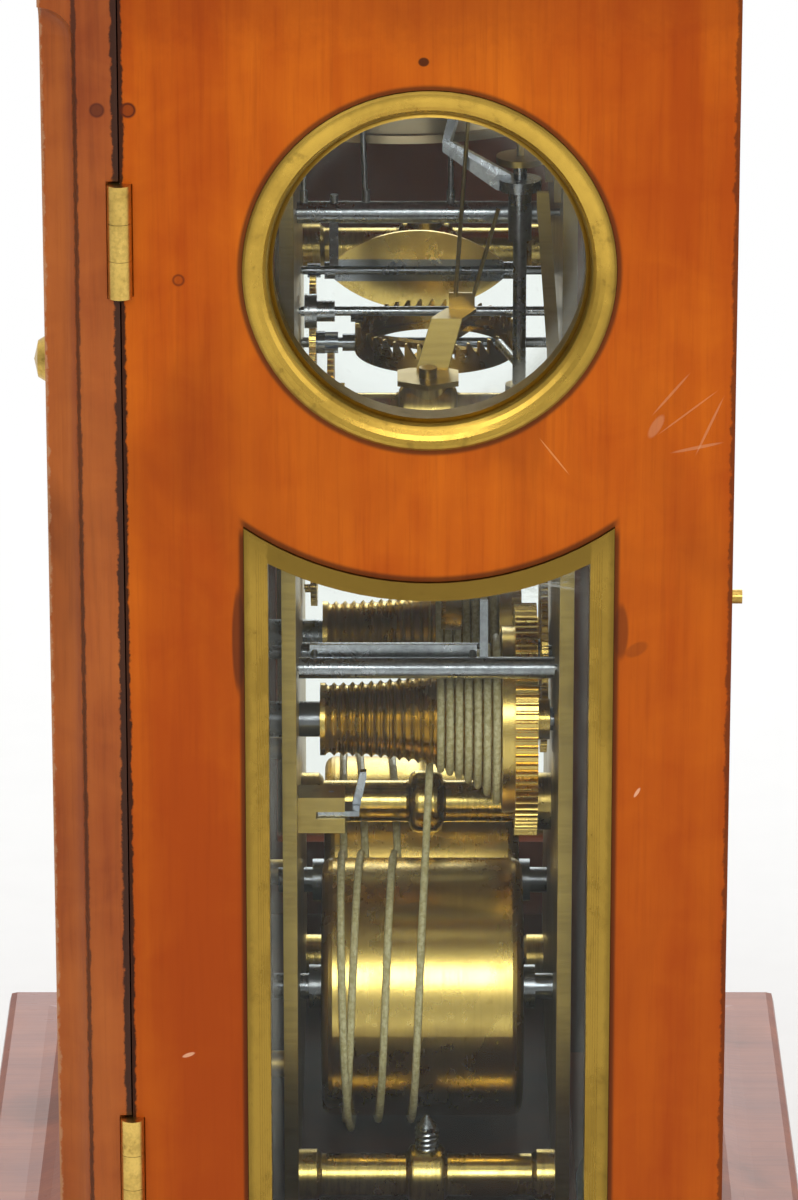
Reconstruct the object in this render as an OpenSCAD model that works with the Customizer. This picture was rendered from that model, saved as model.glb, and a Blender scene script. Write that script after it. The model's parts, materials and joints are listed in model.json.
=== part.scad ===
// Spring-driven bracket clock: a mahogany case with glazed side windows round a twin-fusee
// striking movement with a verge escapement and a short bob pendulum.
// Millimetres. The dial faces -Y, +Z is up, and the origin is the middle of the base's underside.

/* [Case] */
// Width of the case
body_w = 254; // [240:1:300]
// Depth of the case without the front door
body_d = 126.4; // [120:0.5:160]
// Thickness of the side boards
side_t = 14; // [10:0.5:18]
// Height of the boards' top edge above the floor
case_top_z = 402; // [398:1:440]
// Thickness of the top board
top_t = 10; // [6:0.5:14]
// Height of the base's ledge, on which the side boards stand
ledge_z = 57; // [50:1:62]
// Height of the bell-shaped top
bell_top_h = 78; // [50:1:100]
// Size of the flat pad on the bell-shaped top, as a share of its foot
bell_top_pad = 0.44; // [0.35:0.01:0.6]

/* [Base] */
// How far the plinth stands out from the case
plinth_out = 29; // [24:1:36]
// Height of the straight plinth below the mouldings
plinth_h = 33; // [26:1:36]
// How far the hollow moulding's foot stands out from the case
hollow_out = 16.5; // [10:0.5:20]
// Height of the hollow moulding above the ledge
hollow_h = 18; // [12:1:22]

/* [Front door] */
// Thickness of the front door
door_t = 16; // [12:0.5:20]
// Width of the door's frame at the sides
stile_w = 26; // [20:1:34]
// Gap between the door and the case
door_gap = 0.3; // [0.2:0.1:1]
// Width of the chamfer on the door's outer corners
chamfer_w = 7.5; // [4:0.5:10]
// Height at which the chamfer stops
chamfer_stop_z = 383.5; // [360:0.5:390]
// Opening angle shown by the hinges' length: radius of the knuckles
knuckle_r = 2.5; // [2:0.1:3.5]
// Length of a hinge
hinge_len = 24; // [18:1:40]
// Height of the upper hinge's middle
upper_hinge_z = 341; // [320:1:360]
// Height of the lower hinge's middle
lower_hinge_z = 133.5; // [110:1:150]
// Thickness of the panes
pane_t = 2; // [1.5:0.1:3]

/* [Side windows] */
// Height of the round window's centre, which is also the centre of the lower window's hollow top
window_z = 334.2; // [330:0.5:340]
// Outer radius of the round brass bezel
bezel_r = 38.5; // [34:0.5:42]
// Radius of the glass that the bezel leaves open
round_glass_r = 32.2; // [28:0.5:34]
// Half the width of the shaped frame
frame_half_w = 38.6; // [34:0.5:42]
// Radius of the shaped frame's hollow top, from the round window's centre
hollow_top_r = 67.2; // [60:0.5:72]
// Height of the shaped frame's foot
frame_foot_z = 112; // [100:1:130]
// Width of the shaped frame's moulding
frame_w = 5; // [4:0.2:7]
// Depth of the bezel and frame in the board
bezel_d = 8; // [5:0.5:10]
// How proud of the board the brass stands
brass_proud = 0.8; // [0.4:0.1:1.5]

/* [Movement] */
// Distance between the two plates
plate_gap = 57.4; // [50:0.5:62]
// Thickness of the plates
plate_t = 3.1; // [2:0.1:4]
// Half the width of the plates
plate_half_w = 72; // [68:1:76]
// Height of the plates' lower edge, on the seatboard
seat_z = 95; // [90:1:100]
// Height of the plates' upper edge
plate_top_z = 336.5; // [334:0.5:337]
// Radius of the pillars
pillar_r = 4.8; // [3.5:0.1:5.5]
// Radius of the knops in the middle of the pillars
knop_r = 7.2; // [6:0.1:8]
// Height of the lower pillars
lower_pillar_z = 103.3; // [102:0.1:108]
// Distance of the outer pillars from the middle
pillar_x = 63.5; // [60:0.5:66]
// Height of the upper pillars
upper_pillar_z = 283; // [275:0.5:290]
// Height of the middle pillar
centre_pillar_z = 168.8; // [166:0.1:172]
// Thickness of the seatboard
seat_t = 14; // [8:0.5:18]

/* [Fusees and barrels] */
// Distance of each winding arbor from the middle
fusee_x = 27.5; // [27.2:0.1:28]
// Height of the winding arbors
fusee_z = 199.3; // [198:0.1:201]
// Distance of each barrel from the middle
barrel_x = 32.5; // [32:0.1:34]
// Height of the barrels
barrel_z = 136.2; // [134:0.1:138]
// Radius of the barrels
barrel_r = 29.3; // [26:0.1:29.6]
// Length of the barrels
barrel_len = 45.4; // [40:0.1:47]
// Diameter of the gut lines
gut_d = 1.7; // [1.2:0.1:1.9]
// Gap between the gut and the brass under it
gut_gap = 0.1; // [0.08:0.01:0.2]
// Smallest radius of the fusee
fusee_small_r = 8.2; // [7.5:0.1:9]
// Largest radius of the fusee
fusee_large_r = 19.5; // [17:0.1:20.5]
// Number of grooves cut in the fusee
fusee_grooves = 19; // [12:1:20]
// Number of grooves that hold gut now
gut_turns = 7; // [3:1:9]
// Thickness of the great wheels
great_t = 5; // [3:0.1:5.2]

/* [Trains] */
// Module of the great wheels
great_m = 0.64; // [0.62:0.005:0.66]
// Teeth of the great wheels and of the centre wheel
great_n = 80; // [80:1:80]
// Leaves of the pinions that the great wheels drive
great_pinion_n = 8; // [8:1:8]
// Module of the centre wheel
centre_m = 0.56; // [0.54:0.005:0.57]
// Module of the contrate wheel
contrate_m = 0.45; // [0.42:0.01:0.48]
// Teeth of the contrate wheel
contrate_n = 78; // [72:2:84]
// Teeth of the crown wheel, always odd
crown_n = 39; // [31:2:43]
// Radius of the crown wheel
crown_r = 18.1; // [16:0.1:19]
// Height of the crown wheel's tooth tips above the contrate wheel's arbor
crown_rise = 54.4; // [52:0.1:56]
// Distance of the crown wheel's arbor behind the middle of the movement
crown_y = 1.9; // [1:0.1:3]
// Thickness of the train wheels
wheel_t = 1.5; // [1:0.1:2]
// Length of the pendulum from the verge to the middle of the bob
pendulum_len = 222.8; // [215:0.1:228]
// Radius of the bob
bob_r = 20; // [14:0.5:23]

/* [Dial] */
// Radius of the dial's numeral ring
dial_r = 88; // [80:0.5:92]
// Height of the dial's lower edge
dial_foot_z = 104; // [100:0.5:110]
// Radius of the dial's arch
arch_r = 72; // [60:0.5:76]
// Thickness of the dial plate
dial_t = 1.6; // [1.2:0.1:3]

/* [Bell] */
// Radius of the bell's mouth
bell_r = 45; // [38:0.5:48]
// Height of the bell's mouth
bell_z = 337.2; // [337:0.2:345]

/* [Hidden] */
$fn = 64;

eps = 0.01;
run_gap = 0.05;

// Case
half_w = body_w / 2;
half_d = body_d / 2;
inner_half_w = half_w - side_t;
door_back_y = -half_d - door_gap;
door_face_y = door_back_y - door_t;
door_foot_z = ledge_z + hollow_h + 1;
door_top_z = case_top_z - 1;
arch_head = 33;
glass_half_w = half_w - stile_w;
arch_spring_z = door_top_z - arch_head - arch_r;
hinge_x = half_w + 0.6;
hinge_y = door_back_y + door_gap / 2;
hinge_zs = [upper_hinge_z, lower_hinge_z];
hinge_leaf_t = 0.9;
glass_x = half_w - bezel_d + 2;
back_rebate = 4;

// Movement
gap_half = plate_gap / 2;
plate_out = gap_half + plate_t;
great_y = gap_half - 4 - great_t;
strike_great_t = 2.2;
barrel_y0 = -gap_half + 5;
centre_c = (great_n + great_pinion_n) / 2 * great_m;
centre_z = fusee_z + sqrt(centre_c * centre_c - fusee_x * fusee_x);
centre_wheel_y = gap_half - 2.7;
contrate_c = (great_n + 8) / 2 * centre_m;
contrate_z = centre_z + contrate_c;
contrate_r = contrate_n * contrate_m / 2;
crown_tip_z = contrate_z + crown_rise;
verge_z = crown_tip_z + 2.6;

// Strike train: each arbor's place in the XZ plane
pin_n = 72;
pin_m = 0.56;
pin_pinion_n = 9;
hoop_n = 70;
hoop_m = 0.6;
hoop_pinion_n = 7;
warn_n = 60;
warn_m = 0.5;
warn_pinion_n = 6;
strike_at = [-fusee_x, fusee_z];
pin_at = strike_at + centre_c * [-sin(10), cos(10)];
hoop_at = pin_at + (pin_n + pin_pinion_n) / 2 * pin_m * [sin(3), cos(3)];
warn_at = hoop_at + (hoop_n + hoop_pinion_n) / 2 * hoop_m * [sin(16), cos(16)];
fly_at = warn_at + (warn_n + warn_pinion_n) / 2 * warn_m * [-sin(18), cos(18)];
pin_wheel_y = -gap_half + 2;
hoop_wheel_y = -gap_half + 6;
warn_wheel_y = pin_wheel_y;

// Motion work in front of the front plate
motion_y = -plate_out - 8;
motion_m = 0.65;
motion_n = 36;
hour_n = 72;
hour_pinion_n = 6;
motion_c = motion_n * motion_m;
hour_m = 2 * motion_c / (hour_n + hour_pinion_n);
dial_y = -half_d + 5;

// Hammer
hammer_x = 50;
hammer_y = 19.9;
lever_x = 44;
lever_z = 322.9;
detent_x = 51.5;
detent_z = 220.4;
bell_x = -6;
bell_y = -6;

// A round bar along Y, from y0 to y1
module y_bar(x, z, r, y0, y1) {
    translate([x, y0, z])
        rotate([-90, 0, 0])
            cylinder(h = y1 - y0, r = r);
}

// A round bar along X, from x0 to x1
module x_bar(y, z, r, x0, x1) {
    translate([x0, y, z])
        rotate([0, 90, 0])
            cylinder(h = x1 - x0, r = r);
}

// An upright round bar, from z0 to z1
module z_bar(x, y, r, z0, z1) {
    translate([x, y, z0])
        cylinder(h = z1 - z0, r = r);
}

// A round bar between two points
module rod(a, b, r) {
    d = b - a;
    len = norm(d);
    translate(a)
        rotate([0, acos(d[2] / len), atan2(d[1], d[0])])
            cylinder(h = len, r = r);
}

// Turns a flat XZ outline into a slab from y to y + t
module y_slab(y, t) {
    translate([0, y + t, 0])
        rotate([90, 0, 0])
            linear_extrude(t)
                children();
}

// Turns a flat YZ outline into a slab from x to x + t
module x_slab(x, t) {
    translate([x, 0, 0])
        rotate([90, 0, 90])
            linear_extrude(t)
                children();
}

module box(lo, hi) {
    translate(lo)
        cube(hi - lo);
}

// A turned piece along Y: each point of the profile is [radius, y]
module turned_y(x, z, profile) {
    translate([x, 0, z])
        rotate([-90, 0, 0])
            rotate_extrude()
                polygon(profile);
}

// Outline of a toothed wheel. Half thicknesses are shares of the pitch at root, pitch line and tip.
function tooth(r, m, p, add, ded, half) =
    [[r - ded * m, -half[0] * p], [r, -half[1] * p],
     [r + 0.6 * add * m, -0.525 * (half[1] + half[2]) * p], [r + add * m, -half[2] * p],
     [r + add * m, half[2] * p], [r + 0.6 * add * m, 0.525 * (half[1] + half[2]) * p],
     [r, half[1] * p], [r - ded * m, half[0] * p]];

module teeth(n, m, add, ded, half) {
    one = tooth(n * m / 2, m, 360 / n, add, ded, half);
    polygon([for (i = [0:n - 1], q = one)
        q[0] * [cos(q[1] + i * 360 / n), sin(q[1] + i * 360 / n)]]);
}

module wheel_outline(n, m) {
    teeth(n, m, 0.95, 1.3, [0.25, 0.20, 0.07]);
}

module pinion_outline(n, m) {
    teeth(n, m, 0.6, 1.45, [0.13, 0.17, 0.09]);
}

// The space between two crossings of a wheel
module crossing(rim_r, hub_r, arms, arm_w) {
    gap = 360 / arms;
    far = 2 * rim_r;
    difference() {
        intersection() {
            circle(r = rim_r);
            polygon([[0, 0], far * [cos(gap / 2), -sin(gap / 2)], [far, 0],
                     far * [cos(gap / 2), sin(gap / 2)]]);
        }
        circle(r = hub_r);
        for (side = [-1, 1])
            rotate(side * gap / 2)
                translate([0, -arm_w / 2])
                    square([far, arm_w]);
    }
}

// A crossed-out train wheel standing in the XZ plane
module train_wheel(at, y, t, n, m, turn, arms = 4) {
    root = n * m / 2 - 1.3 * m;
    y_slab(y, t)
        translate(at)
            rotate(turn)
                difference() {
                    wheel_outline(n, m);
                    for (i = [0:arms - 1])
                        rotate(i * 360 / arms)
                            crossing(root - 1.8, 3.4, arms, 2.2);
                }
}

module pinion(at, y, t, n, m, turn) {
    y_slab(y, t)
        translate(at)
            rotate(turn)
                pinion_outline(n, m);
}

// An arbor between the plates, with thinner pivots through them
module arbor(at, r, y0 = -gap_half + 0.3, y1 = gap_half - 0.3) {
    y_bar(at[0], at[1], r, y0, y1);
    y_bar(at[0], at[1], 0.8, -plate_out + 0.4, plate_out - 0.4);
}

// Angle from one arbor to another in the XZ plane
function toward(a, b) = atan2(b[1] - a[1], b[0] - a[0]);

// Turn that puts a pinion's gap where a wheel at this angle has a tooth
function gap_turn(angle, n) = angle + 180 + 180 / n;

// Points of a quarter hollow from the top of a moulding out to its foot
function hollow_curve(out, h, steps) =
    [for (i = [0:steps]) [out * (1 - cos(90 * i / steps)), h * (1 - sin(90 * i / steps))]];

// Half section of the base: [distance outside the case, height]
function base_profile() = concat(
    [for (p = hollow_curve(hollow_out, hollow_h, 8)) [p[0], ledge_z + p[1]]],
    [[plinth_out - 4, ledge_z], [plinth_out - 2.4, ledge_z - 1], [plinth_out - 1.8, ledge_z - 3.4],
     [plinth_out - 1.8, plinth_h + 1.8], [plinth_out, plinth_h], [plinth_out, 0]]);

// Outline of a block that follows a profile on both sides
module stepped(lo, hi, profile) {
    n = len(profile) - 1;
    polygon(concat([for (p = profile) [hi + p[0], p[1]]],
                   [for (i = [n:-1:0]) [lo - profile[i][0], profile[i][1]]]));
}

module base_moulding() {
    color("saddlebrown")
        difference() {
            intersection() {
                y_slab(-300, 600)
                    stepped(-half_w, half_w, base_profile());
                x_slab(-300, 600)
                    stepped(door_face_y, half_d, base_profile());
            }
            // the boards stand on the ledge
            box([-half_w, -half_d, ledge_z], [half_w, half_d, 200]);
            // the pendulum's room
            box([-inner_half_w, -half_d + 10, -1], [inner_half_w, half_d - 8, ledge_z + 1]);
        }
    // sill under the back door
    color("saddlebrown")
        box([-back_half_w, half_d - 8, ledge_z - 1], [back_half_w, half_d + 0.5, ledge_z + hollow_h]);
}

// Outline of the shaped window, drawn in by inset
module window_shape(inset) {
    half = frame_half_w - inset;
    foot = frame_foot_z + inset;
    difference() {
        translate([-half, foot])
            square([2 * half, window_z - 40 - foot]);
        translate([0, window_z])
            circle(r = hollow_top_r + inset);
    }
}

// Side board on the +X side
module side_board() {
    seat = brass_proud + 1.2;
    difference() {
        box([inner_half_w, -half_d, ledge_z], [half_w, half_d, case_top_z]);
        // round window, with the bezel's seat
        x_bar(0, window_z, bezel_r - 2, half_w - side_t - 1, half_w + 1);
        x_bar(0, window_z, bezel_r, half_w - seat, half_w + 1);
        // shaped window
        x_slab(half_w - side_t - 1, side_t + 2)
            window_shape(2);
        x_slab(half_w - seat, seat + 1)
            window_shape(0);
        // rebate for the back door
        box([inner_half_w - 1, back_y - back_t - 0.2, ledge_z - 1], [inner_half_w + back_rebate, half_d + 1, case_top_z - top_t]);
    }
}

module right_side() {
    color("peru")
        difference() {
            side_board();
            // room for the front door's hinges
            for (z = hinge_zs) {
                box([half_w - 11, -half_d - 1, z - hinge_len / 2], [half_w + 1, hinge_y + hinge_leaf_t, z + hinge_len / 2]);
                z_bar(hinge_x, hinge_y, knuckle_r + 0.3, z - hinge_len / 2, z + hinge_len / 2);
            }
            // slot for the back door's catch
            box([inner_half_w - 1, catch_y - 0.4, back_knob_z - 4], [inner_half_w + back_rebate, catch_y + catch_t + 0.4, back_knob_z + 8.8]);
        }
}

module left_side() {
    color("peru")
        mirror([1, 0, 0])
            side_board();
}

module top_board() {
    color("sienna")
        box([-inner_half_w, -half_d, case_top_z - top_t], [inner_half_w, half_d, case_top_z]);
}

// Bell-shaped top: a cornice, a steep hollow over a round, and a flat pad
function bell_profile(reach) = concat(
    [[8, case_top_z], [9.5, case_top_z + 1.5], [9.5, case_top_z + 5], [5, case_top_z + 8],
     [2, case_top_z + 8], [2, case_top_z + 12]],
    [for (i = [0:6]) [2 - 0.3 * reach * (1 - cos(15 * i)), case_top_z + 12 + 0.45 * bell_top_h * sin(15 * i)]],
    [for (i = [1:7]) [2 - 0.3 * reach - 0.7 * reach * sin(90 * i / 7),
                      case_top_z + 12 + 0.45 * bell_top_h + 0.4 * bell_top_h * (1 - cos(90 * i / 7))]],
    [[2 - reach, case_top_z + 12 + bell_top_h]]);

module stacked(lo, hi, profile) {
    n = len(profile) - 1;
    polygon(concat([for (p = profile) [hi + p[0], p[1]]],
                   [for (i = [n:-1:0]) [lo - profile[i][0], profile[i][1]]]));
}

top_reach_x = half_w * (1 - bell_top_pad);
top_reach_y = half_d * (1 - bell_top_pad) + 4;
top_pad_z = case_top_z + 12 + bell_top_h;
top_mid_y = (door_face_y + half_d) / 2;

module bell_top() {
    color("sienna")
        intersection() {
            y_slab(-300, 600)
                stacked(-half_w, half_w, bell_profile(top_reach_x));
            x_slab(-300, 600)
                stacked(door_face_y, half_d, bell_profile(top_reach_y));
        }
}

// Frame behind the door that closes the space round the dial
module front_mask() {
    color("saddlebrown")
        difference() {
            box([-inner_half_w, -half_d, ledge_z], [inner_half_w, -half_d + 5, case_top_z - top_t]);
            y_slab(-half_d - 1, 7)
                arched(glass_half_w - 4, dial_foot_z + 4, arch_spring_z - 4, arch_r - 2);
        }
}

// Outline of a break-arch: a rectangle with a round arch on its shoulders
module arched(half, foot, spring, r) {
    translate([-half, foot])
        square([2 * half, spring - foot]);
    intersection() {
        translate([0, spring])
            circle(r = r);
        translate([-r, spring - eps])
            square([2 * r, r + 1]);
    }
}

module handle_posts() {
    color("gold")
        for (side = [-1, 1])
            translate([side * handle_half, top_mid_y, top_pad_z])
                difference() {
                    union() {
                        cylinder(h = 1.5, r = 8);
                        translate([0, 0, 1.5])
                            cylinder(h = 5, r1 = 5, r2 = 3.2);
                        translate([0, 0, 11])
                            sphere(r = 5.5);
                        translate([0, 0, 6])
                            cylinder(h = 3, r = 3.2);
                    }
                    translate([-10, 0, 11])
                        rotate([0, 90, 0])
                            cylinder(h = 20, r = 2.5 + run_gap);
                }
}

handle_half = 38;
handle_axis_z = top_pad_z + 11;

// Carrying handle, lying back on the top at rest
module handle_bail() {
    reach = 30;
    bend = 12;
    lean = -10;
    color("gold")
        translate([0, top_mid_y, handle_axis_z])
            rotate([lean, 0, 0]) {
                for (side = [-1, 1]) {
                    x_bar(0, 0, 2.5, side > 0 ? handle_half - 7 : -handle_half - 14, side > 0 ? handle_half + 14 : 7 - handle_half);
                    translate([side * (handle_half + 11.5), 0, 0])
                        rotate([-90, 0, 0])
                            cylinder(h = reach, r = 2.5);
                    translate([side * (handle_half + 11.5 - bend), reach, 0])
                        rotate([0, 0, side > 0 ? 0 : 90])
                            rotate_extrude(angle = 90)
                                translate([bend, 0])
                                    circle(r = 2.5);
                }
                x_bar(reach + bend, 0, 2.5, -handle_half - 11.5 + bend, handle_half + 11.5 - bend);
                translate([0, reach + bend, 0])
                    rotate([0, 90, 0])
                        turned_grip();
            }
}

module turned_grip() {
    rotate_extrude()
        polygon([[0, -16], [3.2, -16], [3.6, -14], [3, -12], [4.6, -5], [5, 0], [4.6, 5], [3, 12],
                 [3.6, 14], [3.2, 16], [0, 16]]);
}

module front_door() {
    color("chocolate")
        difference() {
            box([-half_w, door_face_y, door_foot_z], [half_w, door_back_y, door_top_z]);
            y_slab(door_face_y - 1, door_t + 2)
                arched(glass_half_w, door_foot_z + stile_w, arch_spring_z, arch_r + 2);
            // rebate for the glass at the back
            y_slab(door_back_y - 7, 8)
                arched(glass_half_w + 4, door_foot_z + stile_w - 4, arch_spring_z + 4, arch_r + 6);
            // hollow chamfers on the outer corners, stopped below the top
            for (side = [-1, 1])
                translate([side * half_w, door_face_y, door_foot_z - 1]) {
                    cylinder(h = chamfer_stop_z - door_foot_z, r = chamfer_w);
                    translate([0, 0, chamfer_stop_z - door_foot_z])
                        sphere(r = chamfer_w);
                }
            // room for the hinges
            for (z = hinge_zs)
                z_bar(hinge_x, hinge_y, knuckle_r + 0.3, z - hinge_len / 2 - 0.5, z + hinge_len / 2 + 0.5);
            for (z = hinge_zs)
                box([half_w - 12, door_back_y - 0.8, z - hinge_len / 2 - 0.2], [half_w + 1, door_back_y + 1, z + hinge_len / 2 + 0.2]);
            // the knob's shank
            y_bar(-half_w + stile_w / 2, knob_z, 2.5 + run_gap, door_face_y - 1, door_back_y + 1);
        }
}

knob_z = 240;
door_pane_y = door_back_y - 7;

module door_glass() {
    color("lightcyan", 0.4)
        y_slab(door_pane_y, pane_t)
            arched(glass_half_w + 3.5, door_foot_z + stile_w - 3.5, arch_spring_z + 3.5, arch_r + 5.5);
}

// A hinge's knuckle between two heights
module knuckle(z0, z1) {
    difference() {
        z_bar(hinge_x, hinge_y, knuckle_r, z0, z1);
        z_bar(hinge_x, hinge_y, 1.2 + run_gap, z0 - 1, z1 + 1);
    }
}

module case_hinge_leaves() {
    color("goldenrod")
        for (z = hinge_zs) {
            third = hinge_len / 3;
            difference() {
                union() {
                    box([half_w - 11, hinge_y, z - hinge_len / 2], [hinge_x, hinge_y + hinge_leaf_t, z + hinge_len / 2]);
                    z_bar(hinge_x, hinge_y, knuckle_r, z - hinge_len / 2, z - third / 2);
                    z_bar(hinge_x, hinge_y, knuckle_r, z + third / 2, z + hinge_len / 2);
                }
                z_bar(hinge_x, hinge_y, knuckle_r + 0.2, z - third / 2, z + third / 2);
            }
            z_bar(hinge_x, hinge_y, 1.2, z - hinge_len / 2, z + hinge_len / 2);
        }
}

module door_hinge_leaves() {
    color("goldenrod")
        for (z = hinge_zs) {
            third = hinge_len / 3;
            difference() {
                union() {
                    box([half_w - 11, door_back_y - 0.8, z - hinge_len / 2], [half_w, door_back_y, z + hinge_len / 2]);
                    z_bar(hinge_x, hinge_y, knuckle_r, z - third / 2 + 0.1, z + third / 2 - 0.1);
                }
                for (side = [-1, 1])
                    z_bar(hinge_x, hinge_y, knuckle_r + 0.2, z + side * third - third / 2 - 0.1, z + side * third + third / 2 + 0.1);
                z_bar(hinge_x, hinge_y, 1.2 + run_gap, z - hinge_len, z + hinge_len);
            }
        }
}

// Knob with a shank through the door and a tongue behind the mask
module door_knob() {
    x = -half_w + stile_w / 2;
    color("gold")
        translate([x, 0, knob_z]) {
            rotate([90, 0, 0])
                translate([0, 0, -door_face_y])
                    rotate_extrude()
                        polygon([[0, 0.3], [9, 0.3], [9, 1.6], [4, 2.4], [3, 6], [5.5, 9], [6, 12], [4.5, 14.5], [0, 15.5]]);
            y_bar(0, 0, 2.5, door_face_y - 1, door_back_y + door_gap / 2);
        }
}

// The back door sits in rebates in the side boards and turns on two upright pins
back_y = half_d - 1;
back_t = 9;
back_half_w = inner_half_w + back_rebate - 0.8;
back_foot_z = ledge_z + hollow_h + 0.8;
back_head_z = case_top_z - top_t - 0.8;
back_stile = 24;
back_hinge_x = -back_half_w + back_t / 2;
back_hinge_y = back_y - back_t / 2;
back_pin_r = 1.5;
back_knob_x = back_half_w - 11.2;
back_knob_z = 256;
catch_t = 1.6;
catch_y = back_y - back_t - 0.4 - catch_t;

module back_pane_outline(grow) {
    half = back_half_w - back_stile + grow;
    translate([-half, back_foot_z + back_stile - grow])
        square([2 * half, back_head_z - back_foot_z - 2 * back_stile + 2 * grow]);
}

module back_door() {
    color("sienna")
        difference() {
            union() {
                box([back_hinge_x, back_y - back_t, back_foot_z], [back_half_w, back_y, back_head_z]);
                z_bar(back_hinge_x, back_hinge_y, back_t / 2, back_foot_z, back_head_z);
            }
            y_slab(back_y - back_t - 1, back_t + 2)
                back_pane_outline(0);
            y_slab(back_y - back_t - 1, 5)
                back_pane_outline(3);
            y_bar(back_knob_x, back_knob_z, 1.5 + run_gap, back_y - back_t - 1, back_y + 1);
            for (z = [back_foot_z, back_head_z])
                z_bar(back_hinge_x, back_hinge_y, back_pin_r + run_gap, z - 10, z + 10);
        }
}

module back_glass() {
    color("lightcyan", 0.4)
        y_slab(back_y - back_t + 4 - pane_t, pane_t)
            back_pane_outline(2.6);
}

// Pivot pins of the back door, on the sill and under the top board
module back_hinges() {
    color("goldenrod") {
        z_bar(back_hinge_x, back_hinge_y, back_pin_r, ledge_z + hollow_h, back_foot_z + 9);
        z_bar(back_hinge_x, back_hinge_y, back_pin_r, back_head_z - 9, case_top_z - top_t);
    }
}

// Turn-button of the back door: a stud outside and a catch inside
module back_knob() {
    color("gold") {
        y_bar(back_knob_x, back_knob_z, 1.5, catch_y, back_y + 0.4);
        y_bar(back_knob_x, back_knob_z, 3.4, back_y + 0.3, back_y + 1.5);
        y_bar(back_knob_x, back_knob_z, 1.5, back_y + 1.5, back_y + 4.2);
        box([back_knob_x - 3, catch_y, back_knob_z - 3], [back_knob_x + 3, catch_y + catch_t, back_knob_z + 11]);
    }
}

// Both sides of the clock carry the same piece
module both_sides() {
    children();
    mirror([1, 0, 0])
        children();
}

module round_bezels() {
    out = brass_proud;
    width = bezel_r - round_glass_r;
    color("goldenrod")
        both_sides()
            translate([half_w, 0, window_z])
                rotate([0, 90, 0])
                    rotate_extrude()
                        polygon(concat(
                            [[round_glass_r, -bezel_d], [bezel_r - 2.2, -bezel_d], [bezel_r - 2.2, -1.2 - out],
                             [bezel_r - 0.1, -1.2 - out], [bezel_r - 0.1, out - 0.4], [bezel_r - 0.6, out]],
                            [for (i = [0:6]) [bezel_r - 1.2 - (width - 2) * sin(15 * i),
                                              out - 3.4 * (1 - cos(15 * i))]],
                            [[round_glass_r, out - 3]]));
}

module round_glasses() {
    color("lightcyan", 0.4)
        both_sides()
            x_bar(0, window_z, bezel_r - 2.1, half_w - bezel_d - pane_t - 0.05, half_w - bezel_d - 0.05);
}

// The hollow moulding of the shaped frame, stepped along its section
module shaped_frames() {
    steps = 6;
    color("goldenrod")
        both_sides() {
            for (i = [0:steps - 1])
                x_slab(half_w - bezel_d, bezel_d + brass_proud - 3.2 * sin(75 * i / (steps - 1)) * 0.9)
                    difference() {
                        window_shape(2.1 + (frame_w - 2.1) * i / steps);
                        window_shape(2.1 + (frame_w - 2.1) * (i + 1) / steps);
                    }
            x_slab(half_w - 1.2 - brass_proud, 1.2 + 2 * brass_proud)
                difference() {
                    window_shape(0.1);
                    window_shape(2.1);
                }
        }
}

module shaped_glasses() {
    color("lightcyan", 0.4)
        both_sides()
            x_slab(half_w - bezel_d - pane_t - 0.05, pane_t)
                window_shape(2.2);
}

// Seatboard on two rails that are fixed to the side boards
seat_front_y = -half_d + 8;
seat_back_y = plate_out + 2;

module seatboard() {
    color("saddlebrown")
        difference() {
            box([-inner_half_w + 1, seat_front_y, seat_z - seat_t], [inner_half_w - 1, seat_back_y, seat_z]);
            for (side = [-1, 1])
                z_bar(side * pillar_x, 0, bolt_r + 0.4, seat_z - seat_t - 1, seat_z + 1);
        }
}

module seat_rails() {
    color("saddlebrown")
        both_sides()
            box([inner_half_w - 12, seat_front_y, ledge_z], [inner_half_w, seat_back_y, seat_z - seat_t]);
}

bolt_r = 2.4;
bolt_top_z = 118;

module seat_bolts() {
    color("slategray")
        for (side = [-1, 1]) {
            z_bar(side * pillar_x, 0, bolt_r, seat_z - seat_t - 0.5, bolt_top_z - 2.6);
            translate([side * pillar_x, 0, bolt_top_z - 2.6])
                cylinder(h = 2.6, r1 = bolt_r, r2 = 0.3);
            z_bar(side * pillar_x, 0, 6, seat_z - seat_t - 4.5, seat_z - seat_t);
        }
}

// The going train's arbors on the right and the strike train's on the left
pivots = [[0, contrate_z], pin_at, hoop_at, warn_at, fly_at, [0, verge_z], [lever_x, lever_z],
          [detent_x, detent_z]];

module plate_blank(y) {
    difference() {
        box([-plate_half_w, y, seat_z], [plate_half_w, y + plate_t, plate_top_z]);
        for (p = pivots)
            y_bar(p[0], p[1], 0.8 + run_gap, y - 1, y + plate_t + 1);
        for (side = [-1, 1])
            y_bar(side * barrel_x, barrel_z, 3 + run_gap, y - 1, y + plate_t + 1);
        y_bar(0, centre_z, 1.6 + run_gap, y - 1, y + plate_t + 1);
    }
}

module front_plate() {
    color("darkgoldenrod") {
        difference() {
            plate_blank(-plate_out);
            for (side = [-1, 1])
                y_bar(side * fusee_x, fusee_z, 4 + run_gap, -plate_out - 1, -gap_half + 1);
        }
        stop_block();
        // stud for the minute wheel
        y_bar(0, motion_at[1], 2.5, motion_y + motion_t + 0.2, -plate_out);
        y_bar(0, motion_at[1], 1, hour_y - 0.6, motion_y + motion_t + 0.3);
    }
}

module back_plate() {
    color("darkgoldenrod")
        difference() {
            plate_blank(gap_half);
            for (side = [-1, 1])
                y_bar(side * fusee_x, fusee_z, 1.5 + run_gap, gap_half - 1, plate_out + 1);
        }
}

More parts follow.
